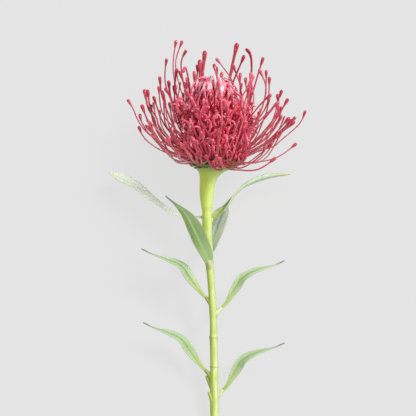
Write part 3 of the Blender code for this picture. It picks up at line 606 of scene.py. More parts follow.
class Finish:
    """A material under construction: a colour that layers are laid over, and short ways to make its nodes."""

    def __init__(self, name, specular=0.5, coat=0.0, coat_roughness=0.2):
        self.material = bpy.data.materials.new(name)
        self.material.use_nodes = True
        self.tree = self.material.node_tree
        self.shader = self.tree.nodes["Principled BSDF"]
        self.shader.inputs["Specular IOR Level"].default_value = specular
        self.shader.inputs["Coat Weight"].default_value = coat
        self.shader.inputs["Coat Roughness"].default_value = coat_roughness
        self.colour = None

    def feed(self, socket, value):
        """Puts a value, a colour or another node's output into a socket."""
        if isinstance(value, bpy.types.NodeSocket):
            self.tree.links.new(value, socket)
        elif socket.type == "RGBA":
            socket.default_value = (*value, 1.0)
        else:
            socket.default_value = value

    def node(self, kind, *values):
        """A new node with its first sockets filled."""
        made = self.tree.nodes.new("ShaderNode" + kind)
        for socket, value in zip(made.inputs, values):
            self.feed(socket, value)
        return made

    def mark(self, name):
        """The value that the mesh has under that name at each point."""
        made = self.node("Attribute")
        made.attribute_name = name
        return made.outputs["Fac"]

    def calc(self, operation, first, second=0.0):
        made = self.node("Math", first, second)
        made.operation = operation
        return made.outputs[0]

    def times(self, first, second):
        return self.calc("MULTIPLY", first, second)

    def plus(self, first, second):
        return self.calc("ADD", first, second)

    def minus(self, first, second):
        return self.calc("SUBTRACT", first, second)

    def fade(self, value, low, high, start=0.0, end=1.0):
        """Goes smoothly from start to end as a value goes from low to high."""
        made = self.node("MapRange", value, low, high, start, end)
        made.interpolation_type = "SMOOTHSTEP"
        return made.outputs[0]

    def blend(self, share, first, second):
        """A colour between two others."""
        made = self.node("Mix")
        made.data_type = "RGBA"
        for index, value in ((0, share), (6, first), (7, second)):
            self.feed(made.inputs[index], value)
        return made.outputs[2]

    def lay(self, share, colour):
        """Lays a colour over the one that is there, by a share from 0 to 1."""
        self.colour = self.blend(share, self.colour, colour)

    def upright(self):
        """The place on the upright flower, in millimetres."""
        back = LAID.inverted()
        turn = self.node("Mapping", self.node("TexCoord").outputs["Object"])
        turn.inputs["Location"].default_value = back.translation
        turn.inputs["Rotation"].default_value = back.to_euler()
        turn.inputs["Scale"].default_value = (1 / MM,) * 3
        return turn.outputs[0]

    def speckle(self, place, size, detail=2.0, stretch=1.0):
        """A noise whose spots are about size millimetres wide, drawn out up the stem by stretch."""
        scale = self.node("Mapping", place)
        scale.inputs["Scale"].default_value = (1.0 / size, 1.0 / size, 1.0 / (size * stretch))
        made = self.node("TexNoise", scale.outputs[0])
        made.inputs["Scale"].default_value = 1.0
        made.inputs["Detail"].default_value = detail
        return made.outputs[0]

    def done(self, roughness, relief, depth, strength=1.0):
        """The material, with its roughness and a relief of a depth in millimetres."""
        self.feed(self.shader.inputs["Base Color"], self.colour)
        self.feed(self.shader.inputs["Roughness"], roughness)
        bump = self.node("Bump")
        bump.inputs["Distance"].default_value = depth * MM
        bump.inputs["Strength"].default_value = strength
        self.feed(bump.inputs["Height"], relief)
        self.feed(self.shader.inputs["Normal"], bump.outputs[0])
        return self.material


def style_finish(name, sizes, dark, bright, pale, shine, coat):
    """Satin red, dusty with age, pinker towards the knob and with pale touches of painted highlight."""
    paint = Finish(name, specular=0.45, coat=coat, coat_roughness=0.14)
    place = paint.upright()
    along, tone, age = paint.mark("along"), paint.mark("tone"), paint.mark("age")
    mottle = paint.speckle(place, 2.2)
    share = paint.plus(paint.times(tone, 0.65), paint.times(mottle, 0.4))
    paint.colour = dark
    paint.lay(paint.fade(share, 0.2, 0.9), bright)
    pink = paint.times(paint.fade(tone, 0.35, 1.0), paint.fade(along, 0.3, 1.0, 0.06, 0.3))
    paint.lay(paint.plus(pink, pale), sizes.pink)
    paint.lay(paint.times(age, paint.fade(along, 0.8, 0.25, 0.05, 0.95)), sizes.rust)
    paint.lay(paint.fade(along, 0.3, 0.02, 0.0, 0.6), sizes.root)
    # Pale touches of painted highlight, in dashes drawn out up the stem; the same noise also gives the
    # relief.
    gleam = paint.speckle(place, 1.1, stretch=2.5)
    paint.lay(paint.fade(gleam, 0.56, 0.68, 0.0, shine), sizes.sheen_pink)
    return paint.done(paint.fade(mottle, 0.3, 0.7, 0.3, 0.46), gleam, 0.12, 0.6)


def ribbon_finish(sizes):
    """Pale pink with whitish streaks of painted highlight, crimson at the root."""
    paint = Finish("perianth_pink", specular=0.6, coat=0.3)
    along, tone = paint.mark("along"), paint.mark("tone")
    streak = paint.speckle(paint.upright(), 0.8, stretch=5.0)
    paint.colour = sizes.pink
    # Whitish streaks of painted highlight.
    paint.lay(paint.fade(paint.plus(streak, tone), 0.5, 1.3), sizes.sheen_pink)
    paint.lay(paint.fade(along, 0.3, 0.0), sizes.crimson)
    return paint.done(paint.fade(streak, 0.3, 0.7, 0.26, 0.4), streak, 0.1, 0.6)


def core_finish(sizes):
    """Mottled crimson."""
    paint = Finish("core_crimson", coat=0.6, coat_roughness=0.15)
    mottle = paint.speckle(paint.upright(), 1.6)
    paint.colour = sizes.core_red
    paint.lay(paint.fade(mottle, 0.35, 0.7), sizes.crimson)
    return paint.done(paint.fade(mottle, 0.3, 0.7, 0.35, 0.5), mottle, 0.3)


def collar_finish(sizes):
    """Olive green bracts that turn brown at their tips."""
    paint = Finish("bract_olive")
    streak = paint.speckle(paint.upright(), 0.9, detail=4.0)
    paint.colour = sizes.olive
    paint.lay(paint.fade(streak, 0.3, 0.7), sizes.moss)
    tipped = paint.times(paint.fade(paint.mark("along"), 0.5, 1.0), paint.fade(streak, 0.3, 0.6, 0.5, 1.0))
    paint.lay(tipped, sizes.brown)
    return paint.done(paint.fade(streak, 0.3, 0.7, 0.5, 0.7), streak, 0.3)


def stem_finish(sizes):
    """Satin green with fine streaks, joints and husky nubs; painted olive shade at the left, paler painted
    light and a painted highlight at the right.
    """
    paint = Finish("stem_green", specular=0.45, coat=0.15, coat_roughness=0.3)
    place = paint.upright()
    height = paint.node("SeparateXYZ", place).outputs[2]
    streak = paint.speckle(place, 0.8, detail=3.0, stretch=22.0)
    cloud = paint.speckle(place, 6.0, stretch=2.2)
    side = paint.plus(paint.mark("side"), paint.times(paint.minus(streak, 0.5), 1.6))
    # Painted shade and light across the stem: olive painted shade at the left, the middle green, lime painted
    # light and a paler painted-light edge at the right.
    paint.colour = sizes.shade
    paint.lay(paint.fade(side, -0.95, -0.3), sizes.leaf_green)
    paint.lay(paint.fade(side, -0.4, 0.3), sizes.lit_lime)
    paint.lay(paint.fade(side, 0.55, 1.1), sizes.lit_straw)
    # A painted highlight in cloudy streaks just right of the stem's middle.
    gleam = paint.times(paint.fade(side, -0.1, 0.25), paint.fade(side, 0.7, 0.35))
    paint.lay(paint.times(gleam, paint.fade(cloud, 0.42, 0.62)), sizes.highlight)
    paint.lay(paint.fade(cloud, 0.5, 0.36, 0.0, 0.3), sizes.shade)

    stripes = paint.speckle(place, 1.5, detail=3.0, stretch=9.0)
    striped = paint.plus(paint.mark("side"), paint.times(paint.minus(stripes, 0.5), 2.4))
    # The flare: painted shade at its left and painted light at its right, broken up by stripes.
    flare = paint.blend(paint.fade(striped, -0.7, 0.75), sizes.flare_shaded, sizes.flare_lit)
    paint.lay(paint.fade(height, *FLARE_FADE), flare)
    rim = paint.times(paint.fade(height, *RIM_FADE), paint.fade(stripes, 0.3, 0.6, 0.6, 1.0))
    paint.lay(rim, sizes.moss)

    for joint, reach, depth in JOINTS:
        off = paint.calc("ABSOLUTE", paint.minus(height, joint))
        patches = paint.fade(cloud, 0.3, 0.6, 0.3 * depth, depth)
        paint.lay(paint.times(paint.fade(off, reach, 0.0), patches), sizes.brown)
    # Nubs darker at the left as painted shade and paler at the right as painted light.
    husk = paint.blend(paint.fade(side, -1.6, 1.2), sizes.husk_shaded, sizes.husk_lit)
    paint.lay(paint.times(paint.mark("stub"), paint.fade(height, *HUSK_FADE, 0.0, 0.8)), husk)
    return paint.done(paint.fade(streak, 0.3, 0.7, 0.38, 0.52), streak, 0.3, 0.8)


def leaf_finish(name, sizes):
    """Two halves in greens that partly hold painted shade and painted light, with faint veins, a wide midrib,
    dry margins and a thin tip.
    """
    left, right, rib, margin, stalk = LEAF_COLOURS[name]
    paint = Finish(name, specular=0.4)
    place = paint.upright()
    along, across, under = paint.mark("along"), paint.mark("across"), paint.mark("tone")
    off = paint.calc("ABSOLUTE", across)
    mottle = paint.speckle(place, 2.4, detail=3.0)
    spot = paint.node("CombineXYZ", paint.times(along, 3.0), paint.times(across, 5.0))
    strand = paint.speckle(spot.outputs[0], 1.0, detail=3.0)
    paint.colour = left
    # The right half's green over the left's; where they differ, that is partly painted shade and painted
    # light.
    paint.lay(paint.fade(across, -0.12, 0.12), right)
    paint.lay(under, sizes.leaf_under)
    paint.lay(paint.fade(mottle, 0.45, 0.75, 0.0, 0.5), right)
    paint.lay(paint.fade(strand, 0.5, 0.66, 0.0, 0.6), rib)

    slant = paint.minus(paint.times(along, 7.0), paint.times(off, 0.9))
    veins = paint.node("TexWave", paint.node("CombineXYZ", slant, paint.times(across, 0.4)).outputs[0])
    veins.inputs["Scale"].default_value = 1.0
    veins.inputs["Distortion"].default_value = 1.2
    vein = paint.times(paint.fade(veins.outputs["Fac"], 0.72, 1.0), paint.fade(off, 0.95, 0.4, 0.0, 0.5))
    paint.lay(vein, rib)
    reach = RIB_BAND / LEAVES[name][1]
    band = paint.times(paint.fade(off, reach, 0.25 * reach), paint.fade(along, 0.9, 0.6, 0.2, 0.9))
    paint.lay(band, rib)
    paint.lay(paint.times(paint.fade(off, 0.8, 0.97), paint.fade(mottle, 0.3, 0.6, 0.3, 0.9)), margin)
    scorch = paint.fade(paint.speckle(place, 7.0), 0.56, 0.7)
    paint.lay(paint.times(paint.fade(off, 0.9, 1.0), scorch), sizes.scorch)
    paint.lay(paint.fade(along, 0.46, 0.12, 0.0, 0.9), stalk)
    tip = margin if name in GREEN_TIPPED else sizes.tip_grey
    paint.lay(paint.fade(along, 0.84, 0.94, 0.0, 0.9), tip)
    relief = paint.plus(paint.times(vein, 0.8), paint.times(strand, 1.5))
    strength = 0.2 if name == SMOOTHEST_LEAF else 0.7
    return paint.done(paint.fade(mottle, 0.3, 0.7, 0.44, 0.6), relief, 0.2, strength)


# The stem.


def stem_shape(collection):
    """The finely ribbed stem as a closed mesh with its slanted cut."""
    sheet = Sheet(1)
    rings = []
    for place in steps(STEM_STEPS):
        x, z, radius = smooth_at(STEM, place)
        ring = []
        for side in range(STEM_SIDES):
            turn = 2 * math.pi * side / STEM_SIDES
            way = outward(turn)
            ribs = sum(depth * math.sin(many * turn + twist * z) for depth, many, twist in STEM_RIBS)
            wave = STEM_UNEVENNESS * noise(Vector((way.x, way.y, z * 0.07)))
            ring.append(sheet.point(way * (radius * (1.0 + wave) + ribs) + Vector((x, 0.0, z))))
        rings.append(ring)
    sheet.skin(rings, [sheet.point((x, 0.0, z)) for x, z, _ in (STEM[0], STEM[-1])])
    cut = bmesh.ops.bisect_plane(
        sheet.shape,
        geom=sheet.shape.verts[:] + sheet.shape.edges[:] + sheet.shape.faces[:],
        plane_co=(0.0, 0.0, STEM_CUT_Z),
        plane_no=(0.0, math.sin(STEM_CUT_SLOPE), math.cos(STEM_CUT_SLOPE)),
        clear_inner=True,
    )
    rim = [item for item in cut["geom_cut"] if isinstance(item, bmesh.types.BMEdge)]
    bmesh.ops.edgeloop_fill(sheet.shape, edges=rim)
    return sheet.helper("stem", collection)


def nub_shape(root, tip, outwards, root_radius, tip_radius, collection):
    """A stub that grows out of the stem and bends to the way that its leaf leaves."""
    neck = tip - outwards * tip_radius
    path = bezier(root, root.lerp(neck, 0.5), neck - outwards * NUB_BEND, tip, NUB_STEPS)
    radii = [between((root_radius, tip_radius), place**0.7) for place in steps(NUB_STEPS)]
    sheet = Sheet(1)
    add_tube(sheet, path, radii, 16, 0.0)
    sheet.helper("nub", collection)


def fused(target, pieces):
    """The target joined with every object of a collection into one skin, which is then evened out."""
    union = target.modifiers.new("Fuse", "BOOLEAN")
    union.operation = "UNION"
    union.operand_type = "COLLECTION"
    union.collection = pieces
    union.solver = "MANIFOLD"
    skin = target.modifiers.new("Skin", "REMESH")
    skin.mode = "VOXEL"
    skin.voxel_size = STEM_FINENESS
    skin.use_smooth_shade = True
    soften = target.modifiers.new("Soften", "SMOOTH")
    soften.factor, soften.iterations = 0.5, 3
    bpy.context.view_layer.update()
    mesh = bpy.data.meshes.new_from_object(target.evaluated_get(bpy.context.evaluated_depsgraph_get()))
    for piece in [*pieces.objects, target]:
        bpy.data.objects.remove(piece, do_unlink=True)
    bpy.data.collections.remove(pieces)
    return mesh


def build_stem(sizes):
    """The stem with its spurs and the nubs that the leaves sit on, in one skin."""
    scene = bpy.context.scene.collection
    nubs = bpy.data.collections.new("nubs")
    scene.children.link(nubs)
    stem = stem_shape(scene)
    for root, tip, tip_radius in SPURS:
        root, tip = Vector(root), Vector(tip)
        nub_shape(root, tip, (tip - root).normalized(), SPUR_ROOT_RADIUS, tip_radius, nubs)
    for rib, *_, nub_root, nub_radius in LEAVES.values():
        base = Vector(rib[0])
        outwards = (Vector(rib[1]) - base).normalized()
        tip = base + outwards * NUB_OVERLAP
        nub_shape(Vector(nub_root), tip, outwards, NUB_ROOT_RADIUS, nub_radius, nubs)
    mesh = fused(stem, nubs)
    # How far to the right a point is, in radii, by which the painted shade at the left and the painted light
    # at the right are laid, and whether it is on a nub.
    side, stub = [mesh.attributes.new(name, "FLOAT", "POINT").data for name in ("side", "stub")]
    middles = [(z, x) for x, z, _ in STEM]
    girths = [(z, radius) for _, z, radius in STEM]
    for vertex in mesh.vertices:
        radius = linear_at(girths, vertex.co.z)
        right, back = vertex.co.x - linear_at(middles, vertex.co.z), vertex.co.y
        side[vertex.index].value = right / radius
        beyond = math.hypot(right, back) / radius - HUSK_START
        stub[vertex.index].value = min(max(beyond, 0.0) * HUSK_GAIN, 1.0)
    place_piece("stem_with_nubs", mesh, stem_finish(sizes), "stem")


# The bract collar.


def build_collar(sizes):
    """Rows of pointed bracts round a shallow cup."""
    sheet = Sheet(sum(row[0] for row in BRACT_ROWS) + 1)
    draw = random.Random(SEED)
    for row, (count, radius, height, length, slope) in enumerate(BRACT_ROWS):
        for index in range(count):
            out = outward(2 * math.pi * (index + 0.5 * row + draw.uniform(*BRACT_TURNS)) / count)
            slant = math.radians(slope + draw.uniform(*BRACT_SLOPES))
            reach = length * draw.uniform(*BRACT_LENGTHS)
            path, radii = [], []
            for place in steps(8):
                bend = slant + BRACT_BEND * place
                away = radius - BRACT_ROOT + (reach + BRACT_ROOT) * place * math.cos(bend)
                path.append(out * away + on_axis(height + reach * place * math.sin(bend)))
                share = math.sin(math.pi * (0.25 + 0.75 * place)) ** 0.8
                radii.append(BRACT_HALF_WIDTH * max(0.06, share))
            add_tube(sheet, path, radii, 10, draw.random(), flat=BRACT_FLATNESS, face=UP)
    add_turned(sheet, CUP, 40)
    place_piece("bract_rows", sheet.mesh("bract_rows"), collar_finish(sizes), "bract_collar")


# The head.


def whorl_styles(number, whorl):
    """Seeded styles of a whorl, spaced by the golden angle: root, way out, tip, way in at the tip."""
    count, roots, radii, heights, first_slopes, last_slopes, frontmost, rightmost = whorl
    draw = random.Random(SEED + number)
    for index in range(count):
        out = outward(GOLDEN_TURN * index + number + draw.uniform(-TURN_SCATTER, TURN_SCATTER))
        aside = sideways(out) * draw.uniform(-LEAN_SCATTER, LEAN_SCATTER)
        share = draw.random()
        root_height = draw.uniform(*roots)
        leave, rise = draw.uniform(*first_slopes), draw.uniform(*last_slopes)
        radius = between(radii, (1.0 - SCATTER) * share + SCATTER * draw.random())
        height = between(heights, (1.0 - SCATTER) * share + SCATTER * draw.random())
        if out.y < frontmost or (out.x > rightmost and index % 2):
            continue
        root = out * (linear_at(CORE, root_height) - ROOT_DEPTH) + on_axis(root_height)
        tip = out * radius + aside * TIP_SHIFT + on_axis(height)
        yield root, slanted(out, leave), tip, (slanted(out, rise) + aside).normalized()


def curve_of(root, leave, tip, rise, pull=1.0):
    """Points of a style that is given by its ends and its directions there."""
    reach = (tip - root).length * pull
    return bezier(root, root + leave * reach * ROOT_PULL, tip - rise * reach * TIP_PULL, tip, 40)


def add_style(sheet, sizes, rough, thick, tone, age, sides, draw, sway=1.0, flat=1.0):
    """One style with its knob along a curve, a little uneven, kept over the surface."""
    shaft, length = evenly(rough, SHAFT_STEP)
    knob = sizes.knob_radius / MM * between(KNOB_THICKENING, thick)
    shaft_radius = sizes.style_radius / MM * thick
    # The knob of a thick style is longer, and it has finer steps than the shaft.
    longer = between(KNOB_LENGTHENING, thick)
    spots = [(point, length * (1 - place)) for point, place in zip(shaft, steps(len(shaft) - 1))]
    spots = [(point, distance) for point, distance in spots if distance > KNOB_SHAPE[-1][0] * longer]
    fine, _ = evenly(rough, KNOB_STEP)
    for distance, _ in reversed(KNOB_SHAPE):
        away = min(distance * longer, length * 0.9)
        spots.append((fine[round((len(fine) - 1) * (1 - away / length))], away))
    phase = draw.random() * 10
    radii, path = [], []
    for point, distance in spots:
        least = 0.0 if distance < KNOB_END * longer else shaft_radius
        radius = between((least, knob), linear_at(KNOB_SHAPE, distance / longer))
        off = Vector([noise(Vector((phase + axis * 3.1, distance * 0.055, phase))) for axis in range(3)])
        off *= SWAY * sway * min(1.0, distance / STILL_TIP) * min(1.0, (length - distance) / STILL_ROOT)
        radius *= 1.0 + STYLE_UNEVENNESS * noise(Vector((phase, distance * 0.16, 1.0)))
        radii.append(radius)
        path.append(lift(point + off, SETTLED * radius))
    add_tube(sheet, path, radii, sides, tone, age, flat)


def build_whorls(sizes):
    """The outer styles, one piece for each whorl, and the ones that show singly."""
    finish = style_finish("style_crimson", sizes, sizes.deep, sizes.crimson, 0.0, 0.2, 0.2)
    for number, (name, whorl) in enumerate(WHORLS.items()):
        draw = random.Random(SEED * 3 + number)
        sheet = Sheet(whorl[0])
        for root, leave, tip, rise in whorl_styles(number, whorl):
            thick = draw.choice(OUTER_THICKNESSES)
            age = WHORL_AGES.get(name, 0.0) * draw.uniform(0.3, 1.0)
            rough = curve_of(root, leave, tip, rise)
            flat = min(1.0, 1.9 - thick)
            add_style(sheet, sizes, rough, thick, draw.random(), age, 8, draw, flat=flat)
        place_head_piece("styles_" + name, sheet, finish)
    draw = random.Random(SEED * 5)
    sheet = Sheet(len(SINGLE_STYLES))
    for thick, tone, flat, *points in SINGLE_STYLES:
        rough = [smooth_at(points, place) for place in steps(60)]
        add_style(sheet, sizes, rough, thick, tone, SINGLE_AGE, 10, draw, SINGLE_SWAY, flat)
    place_head_piece("styles_single", sheet, finish)


def add_loop(sheet, draw, centre, out, stalk):
    """A short style that curls round a centre, from a stalk's root or from just under it."""
    bend = draw.uniform(*LOOP_BENDS)
    rise = slanted(out, draw.uniform(*LOOP_SLOPES))
    twist = math.radians(draw.uniform(*LOOP_TWISTS))
    across = (sideways(out) * math.cos(twist) + out * math.sin(twist)) * draw.choice((-1, 1))
    across = (across - rise * across.dot(rise)).normalized()
    turn = math.radians(draw.uniform(*LOOP_TURNS))
    # The start lies under the bend, towards the core.
    start = centre - out * 5.0 - rise * bend * 1.3 + across * bend * 0.6
    path = [stalk, stalk.lerp(start, 0.6) - UP, start + out * 3.0] if stalk else [start]
    for place in steps(18):
        angle = LOOP_START + turn * place
        coil = bend * (1.0 - LOOP_TIGHTENING * place)
        path.append(centre + (across * math.cos(angle) + rise * math.sin(angle) * LOOP_LONG) * coil)
    path = [lift(smooth_at(path, place), 1.0) for place in steps(28)]
    wide = draw.uniform(*LOOP_WIDTHS)
    radii = [wide * (0.55 + 0.45 * math.sin(math.pi * (0.1 + 0.75 * place))) for place in steps(28)]
    add_tube(sheet, path, radii, 8, draw.random(), flat=draw.uniform(*LOOP_FLATNESS), face=out)


def build_loops(finish, draw):
    """The loops that crowd round the core, and more of them further out on stalks."""
    sheet = Sheet(LOOPS + OUTER_LOOPS)
    for index in range(LOOPS + OUTER_LOOPS):
        out = outward(GOLDEN_TURN * index)
        if index < LOOPS:
            height = between(LOOP_HEIGHTS, (index + draw.random()) / LOOPS)
            level = min(height, LOOP_CLOSING[0][0])
            away = linear_at(CORE, level) * linear_at(LOOP_CLOSING, height) + draw.uniform(*LOOP_GAPS)
            stalk = None
        else:
            height = draw.uniform(*OUTER_LOOP_HEIGHTS)
            away = draw.uniform(*OUTER_LOOP_RADII)
            low = max(height - draw.uniform(*STALK_HEIGHTS), LOOP_HEIGHTS[0])
            stalk = out * (linear_at(CORE, low) - STALK_DEPTH) + on_axis(low)
        add_loop(sheet, draw, out * away + on_axis(height), out, stalk)
    place_head_piece("styles_looped", sheet, finish)


def build_ribbons(sizes, draw):
    """A fan of pale ribbons over the top of the core."""
    sheet = Sheet(RIBBONS)
    for index in range(RIBBONS):
        out = outward(GOLDEN_TURN * index + draw.uniform(-RIBBON_TURN, RIBBON_TURN))
        aside = sideways(out) * draw.uniform(-RIBBON_SHIFT, RIBBON_SHIFT)
        low = draw.uniform(*RIBBON_ROOTS)
        root = out * (linear_at(CORE, low) + RIBBON_GAP) + on_axis(low)
        crest = out * draw.uniform(*CREST_RADII) + aside + on_axis(draw.uniform(*CREST_HEIGHTS))
        end = out * draw.uniform(*END_RADII) + aside + on_axis(draw.uniform(*END_HEIGHTS))
        path = bezier(root, root.lerp(crest, 0.6) + out * RIBBON_BULGE, crest, end, 18)
        wide = draw.uniform(*RIBBON_WIDTHS)
        radii = [wide * (0.5 + 0.5 * math.sin(math.pi * min(1.0, 0.15 + 0.9 * place))) for place in steps(18)]
        add_tube(sheet, path, radii, 10, draw.random(), flat=RIBBON_FLATNESS, face=out)
    place_head_piece("perianth_ribbons", sheet, ribbon_finish(sizes))


def build_dome(sizes):
    """The short styles that bend in over the core, the loops round it and the ribbons on top."""
    finish = style_finish("style_inner", sizes, sizes.crimson, sizes.core_red, 0.18, 0.8, 0.7)
    draw = random.Random(SEED * 7)
    sheet = Sheet(DOME[0])
    for root, leave, tip, rise in whorl_styles(len(WHORLS), DOME):
        thick = draw.choice(INNER_THICKNESSES)
        rough = curve_of(root, leave, tip, rise, DOME_PULL)
        add_style(sheet, sizes, rough, thick, draw.random(), 0.0, 8, draw)
    place_head_piece("styles_dome", sheet, finish)
    build_loops(finish, draw)
    build_ribbons(sizes, draw)


def build_core(sizes):
    """The core that the styles stand on, closely set with small buds."""
    sheet = Sheet(BUDS + 1)
    add_turned(sheet, [(z, radius - CORE_INSET) for z, radius in CORE[:-1]] + [CORE_END], 48)
    draw = random.Random(SEED * 11)
    for index in range(BUDS):
        share = (index + 0.5) / BUDS
        height = between(BUD_HEIGHTS, share)
        out = outward(GOLDEN_TURN * index)
        root = out * (linear_at(CORE, height) - BUD_DEPTH) + on_axis(height)
        way = slanted(out, between(BUD_SLOPES, share**2) + draw.uniform(-BUD_SCATTER, BUD_SCATTER))
        length = draw.uniform(*BUD_LENGTHS)
        path = [root + way * length * place + UP * BUD_RISE * place**2 for place in steps(len(BUD_RADII) - 1)]
        add_tube(sheet, path, BUD_RADII, 7, draw.random())
    place_head_piece("core_with_buds", sheet, core_finish(sizes))


# The leaves.


def blade_row(name, sizes, place, top, phase):
    """The points across one face of a leaf at a place along it, and where each is from -1 to 1. top is 1 on
    the upper face and -1 on the lower."""
    rib, half_width, base_face, tip_face, fold, outline, *_ = LEAVES[name]
    centre = smooth_at(rib, place)
    along = smooth_at(rib, place + RIB_STEP) - smooth_at(rib, place - RIB_STEP)
    face = Vector(base_face).lerp(Vector(tip_face), place)
    side = along.cross(face).normalized()
    face = side.cross(along).normalized()
    widest = half_width * max(share_at(outline, place), 0.03)
    bent = math.tan(math.radians(fold * (1.0 - FOLD_FADE * place)))
    for across in (2 * share - 1 for share in steps(BLADE_COLUMNS)):
        width = widest * across
        fold_up = bent * (math.sqrt(width**2 + 0.5) - math.sqrt(0.5))
        wave = MARGIN_WAVE * noise(Vector((phase, place * 6, across * 0.8))) * across**2
        vein = VEIN_HEIGHT * math.sin(46 * place - 5.5 * abs(across)) * (1 - across**2)
        thickness = sizes.leaf_thickness / MM * (1.0 - 0.45 * across**2)
        ridge = RIDGE_HEIGHT * math.exp(-((width / 0.45) ** 2)) * (1 - 0.7 * place)
        rise = fold_up + (wave + vein) * widest / half_width + top * (0.5 * thickness + ridge)
        yield lift(centre + side * width + face * rise, 0.05 + 0.3 * (1 + top)), across


def build_leaf(name, sizes):
    """A thin blade along its midrib, with a raised rib, soft side veins and a slightly wavy margin."""
    sheet = Sheet(2)
    phase = random.Random(name).random() * 9
    rows = {1: [], -1: []}
    for place in steps(BLADE_STEPS):
        for top, found in rows.items():
            row = blade_row(name, sizes, place, top, phase)
            under = 0.5 - 0.5 * top
            found.append([sheet.point(point, (place, across, under, 0.0)) for point, across in row])
    for found in rows.values():
        for station, (low, high) in enumerate(zip(found, found[1:])):
            for column in range(BLADE_COLUMNS):
                corners = (low[column], low[column + 1], high[column + 1], high[column])
                spots = [
                    ((column + right) / BLADE_COLUMNS, (station + up) / BLADE_STEPS)
                    for right, up in ((0, 0), (1, 0), (1, 1), (0, 1))
                ]
                sheet.face(corners, spots)
        sheet.cell += 1
    sheet.cell = 0
    upper, lower = rows[1], rows[-1]
    sides = [[(above[k], below[k]) for above, below in zip(upper, lower)] for k in (0, -1)]
    ends = [list(zip(upper[k], lower[k])) for k in (0, -1)]
    for pairs in sides + ends:
        for (first, second), (third, fourth) in zip(pairs, pairs[1:]):
            sheet.face((first, second, fourth, third), ((0.0, 0.0),) * 4)
    piece = name.replace("leaf", "blade")
    place_piece(piece, sheet.mesh(piece), leaf_finish(name, sizes), name)


# The stage.


def build_floor(sizes):
    """A wide sheet of paper that is pale by its own glow, which keeps shadows faint."""
    mesh = bpy.data.meshes.new("floor")
    reach = FLOOR_REACH
    corners = [(-reach, -reach, 0.0), (reach, -reach, 0.0), (reach, reach, 0.0), (-reach, reach, 0.0)]
    mesh.from_pydata(corners, [], [(0, 1, 2, 3)])
    paint = Finish("floor_paper", specular=0.2)
    darker = [part * 0.985 for part in sizes.floor]
    grain = paint.blend(paint.speckle(paint.upright(), 4.0), sizes.floor, darker)
    paint.feed(paint.shader.inputs["Base Color"], grain)
    paint.shader.inputs["Roughness"].default_value = 0.9
    paint.shader.inputs["Emission Color"].default_value = WHITE
    paint.shader.inputs["Emission Strength"].default_value = sizes.floor_glow
    mesh.materials.append(paint.material)
    floor = bpy.data.objects.new("floor", mesh)
    floor.location.z = -FLOOR_GAP
    bpy.context.scene.collection.objects.link(floor)


def build_light(sizes):
    """Even light from all around, a soft light from the upper right and a smaller one for highlights."""
    scene = bpy.context.scene
    scene.world = scene.world or bpy.data.worlds.new("studio")
    scene.world.use_nodes = True
    background = scene.world.node_tree.nodes["Background"]
    background.inputs["Color"].default_value = WHITE
    background.inputs["Strength"].default_value = sizes.fill_light
    for name, strength, softness, way in (
        ("softbox", sizes.key_light, sizes.softness, KEY_WAY),
        ("accent", sizes.accent_light, ACCENT_SOFTNESS, ACCENT_WAY),
    ):
        sun = bpy.data.lights.new(name, "SUN")
        sun.energy = strength
        sun.angle = math.radians(softness)
        lamp = bpy.data.objects.new(name, sun)
        lamp.rotation_euler = way.to_track_quat("Z", "Y").to_euler()
        scene.collection.objects.link(lamp)


def build_camera():
    """The camera of the photograph, which looks down on the lying flower."""
    scene = bpy.context.scene
    lens = bpy.data.cameras.new("camera")
    lens.lens = lens.sensor_width * VIEW_DISTANCE / VIEW_WIDTH
    lens.clip_start, lens.clip_end = 0.01, 20.0
    camera = bpy.data.objects.new("camera", lens)
    place = LAID @ (VIEW_CENTRE - Vector((0.0, VIEW_DISTANCE, 0.0)))
    towards = LAID.to_3x3() @ Vector((0.0, 1.0, 0.0))
    camera.matrix_world = Matrix.Translation(place) @ towards.to_track_quat("-Z", "Y").to_matrix().to_4x4()
    scene.collection.objects.link(camera)
    scene.camera = camera
    scene.view_settings.view_transform = "Standard"


# What a user can change, the operators and the panel.


def colour(name, description, default):
    return bpy.props.FloatVectorProperty(
        name=name, description=description, default=default, size=3, min=0.0, max=1.0, subtype="COLOR"
    )


def size(name, description, default, least, most):
    """A length that is given in millimetres and kept in metres."""
    return bpy.props.FloatProperty(
        name=name, description=description, default=default * MM, min=least * MM, max=most * MM,
        unit="LENGTH", precision=5,
    )


def amount(name, description, default, least, most):
    return bpy.props.FloatProperty(name=name, description=description, default=default, min=least, max=most)


class ProteaHead(bpy.types.PropertyGroup):
    """The sizes and colours of the styles and the core."""

    style_radius: size("Style radius", "Radius of a style between the core and its knob", 0.54, 0.3, 1.5)
    knob_radius: size("Knob radius", "Radius of the knob at a style's end", 1.2, 0.6, 2.5)
    crimson: colour("Crimson", "Colour of most of a style", (0.57, 0.018, 0.066))
    deep: colour("Deep crimson", "Darkest colour of a style", (0.4, 0.008, 0.033))
    pink: colour("Pink", "Colour of pale styles and of knobs", (0.86, 0.24, 0.33))
    # A painted highlight: the pale touches on the styles and the whitish streaks on the ribbons.
    sheen_pink: colour("Blush", "Palest colour of the ribbons and of touches on styles", (0.95, 0.6, 0.66))
    rust: colour("Rust", "Brownish colour of old outer styles", (0.62, 0.35, 0.34))
    root: colour("Root", "Colour of the styles' roots", (0.55, 0.024, 0.062))
    core_red: colour("Core red", "Brighter colour of the core and the inner styles", (0.84, 0.028, 0.088))


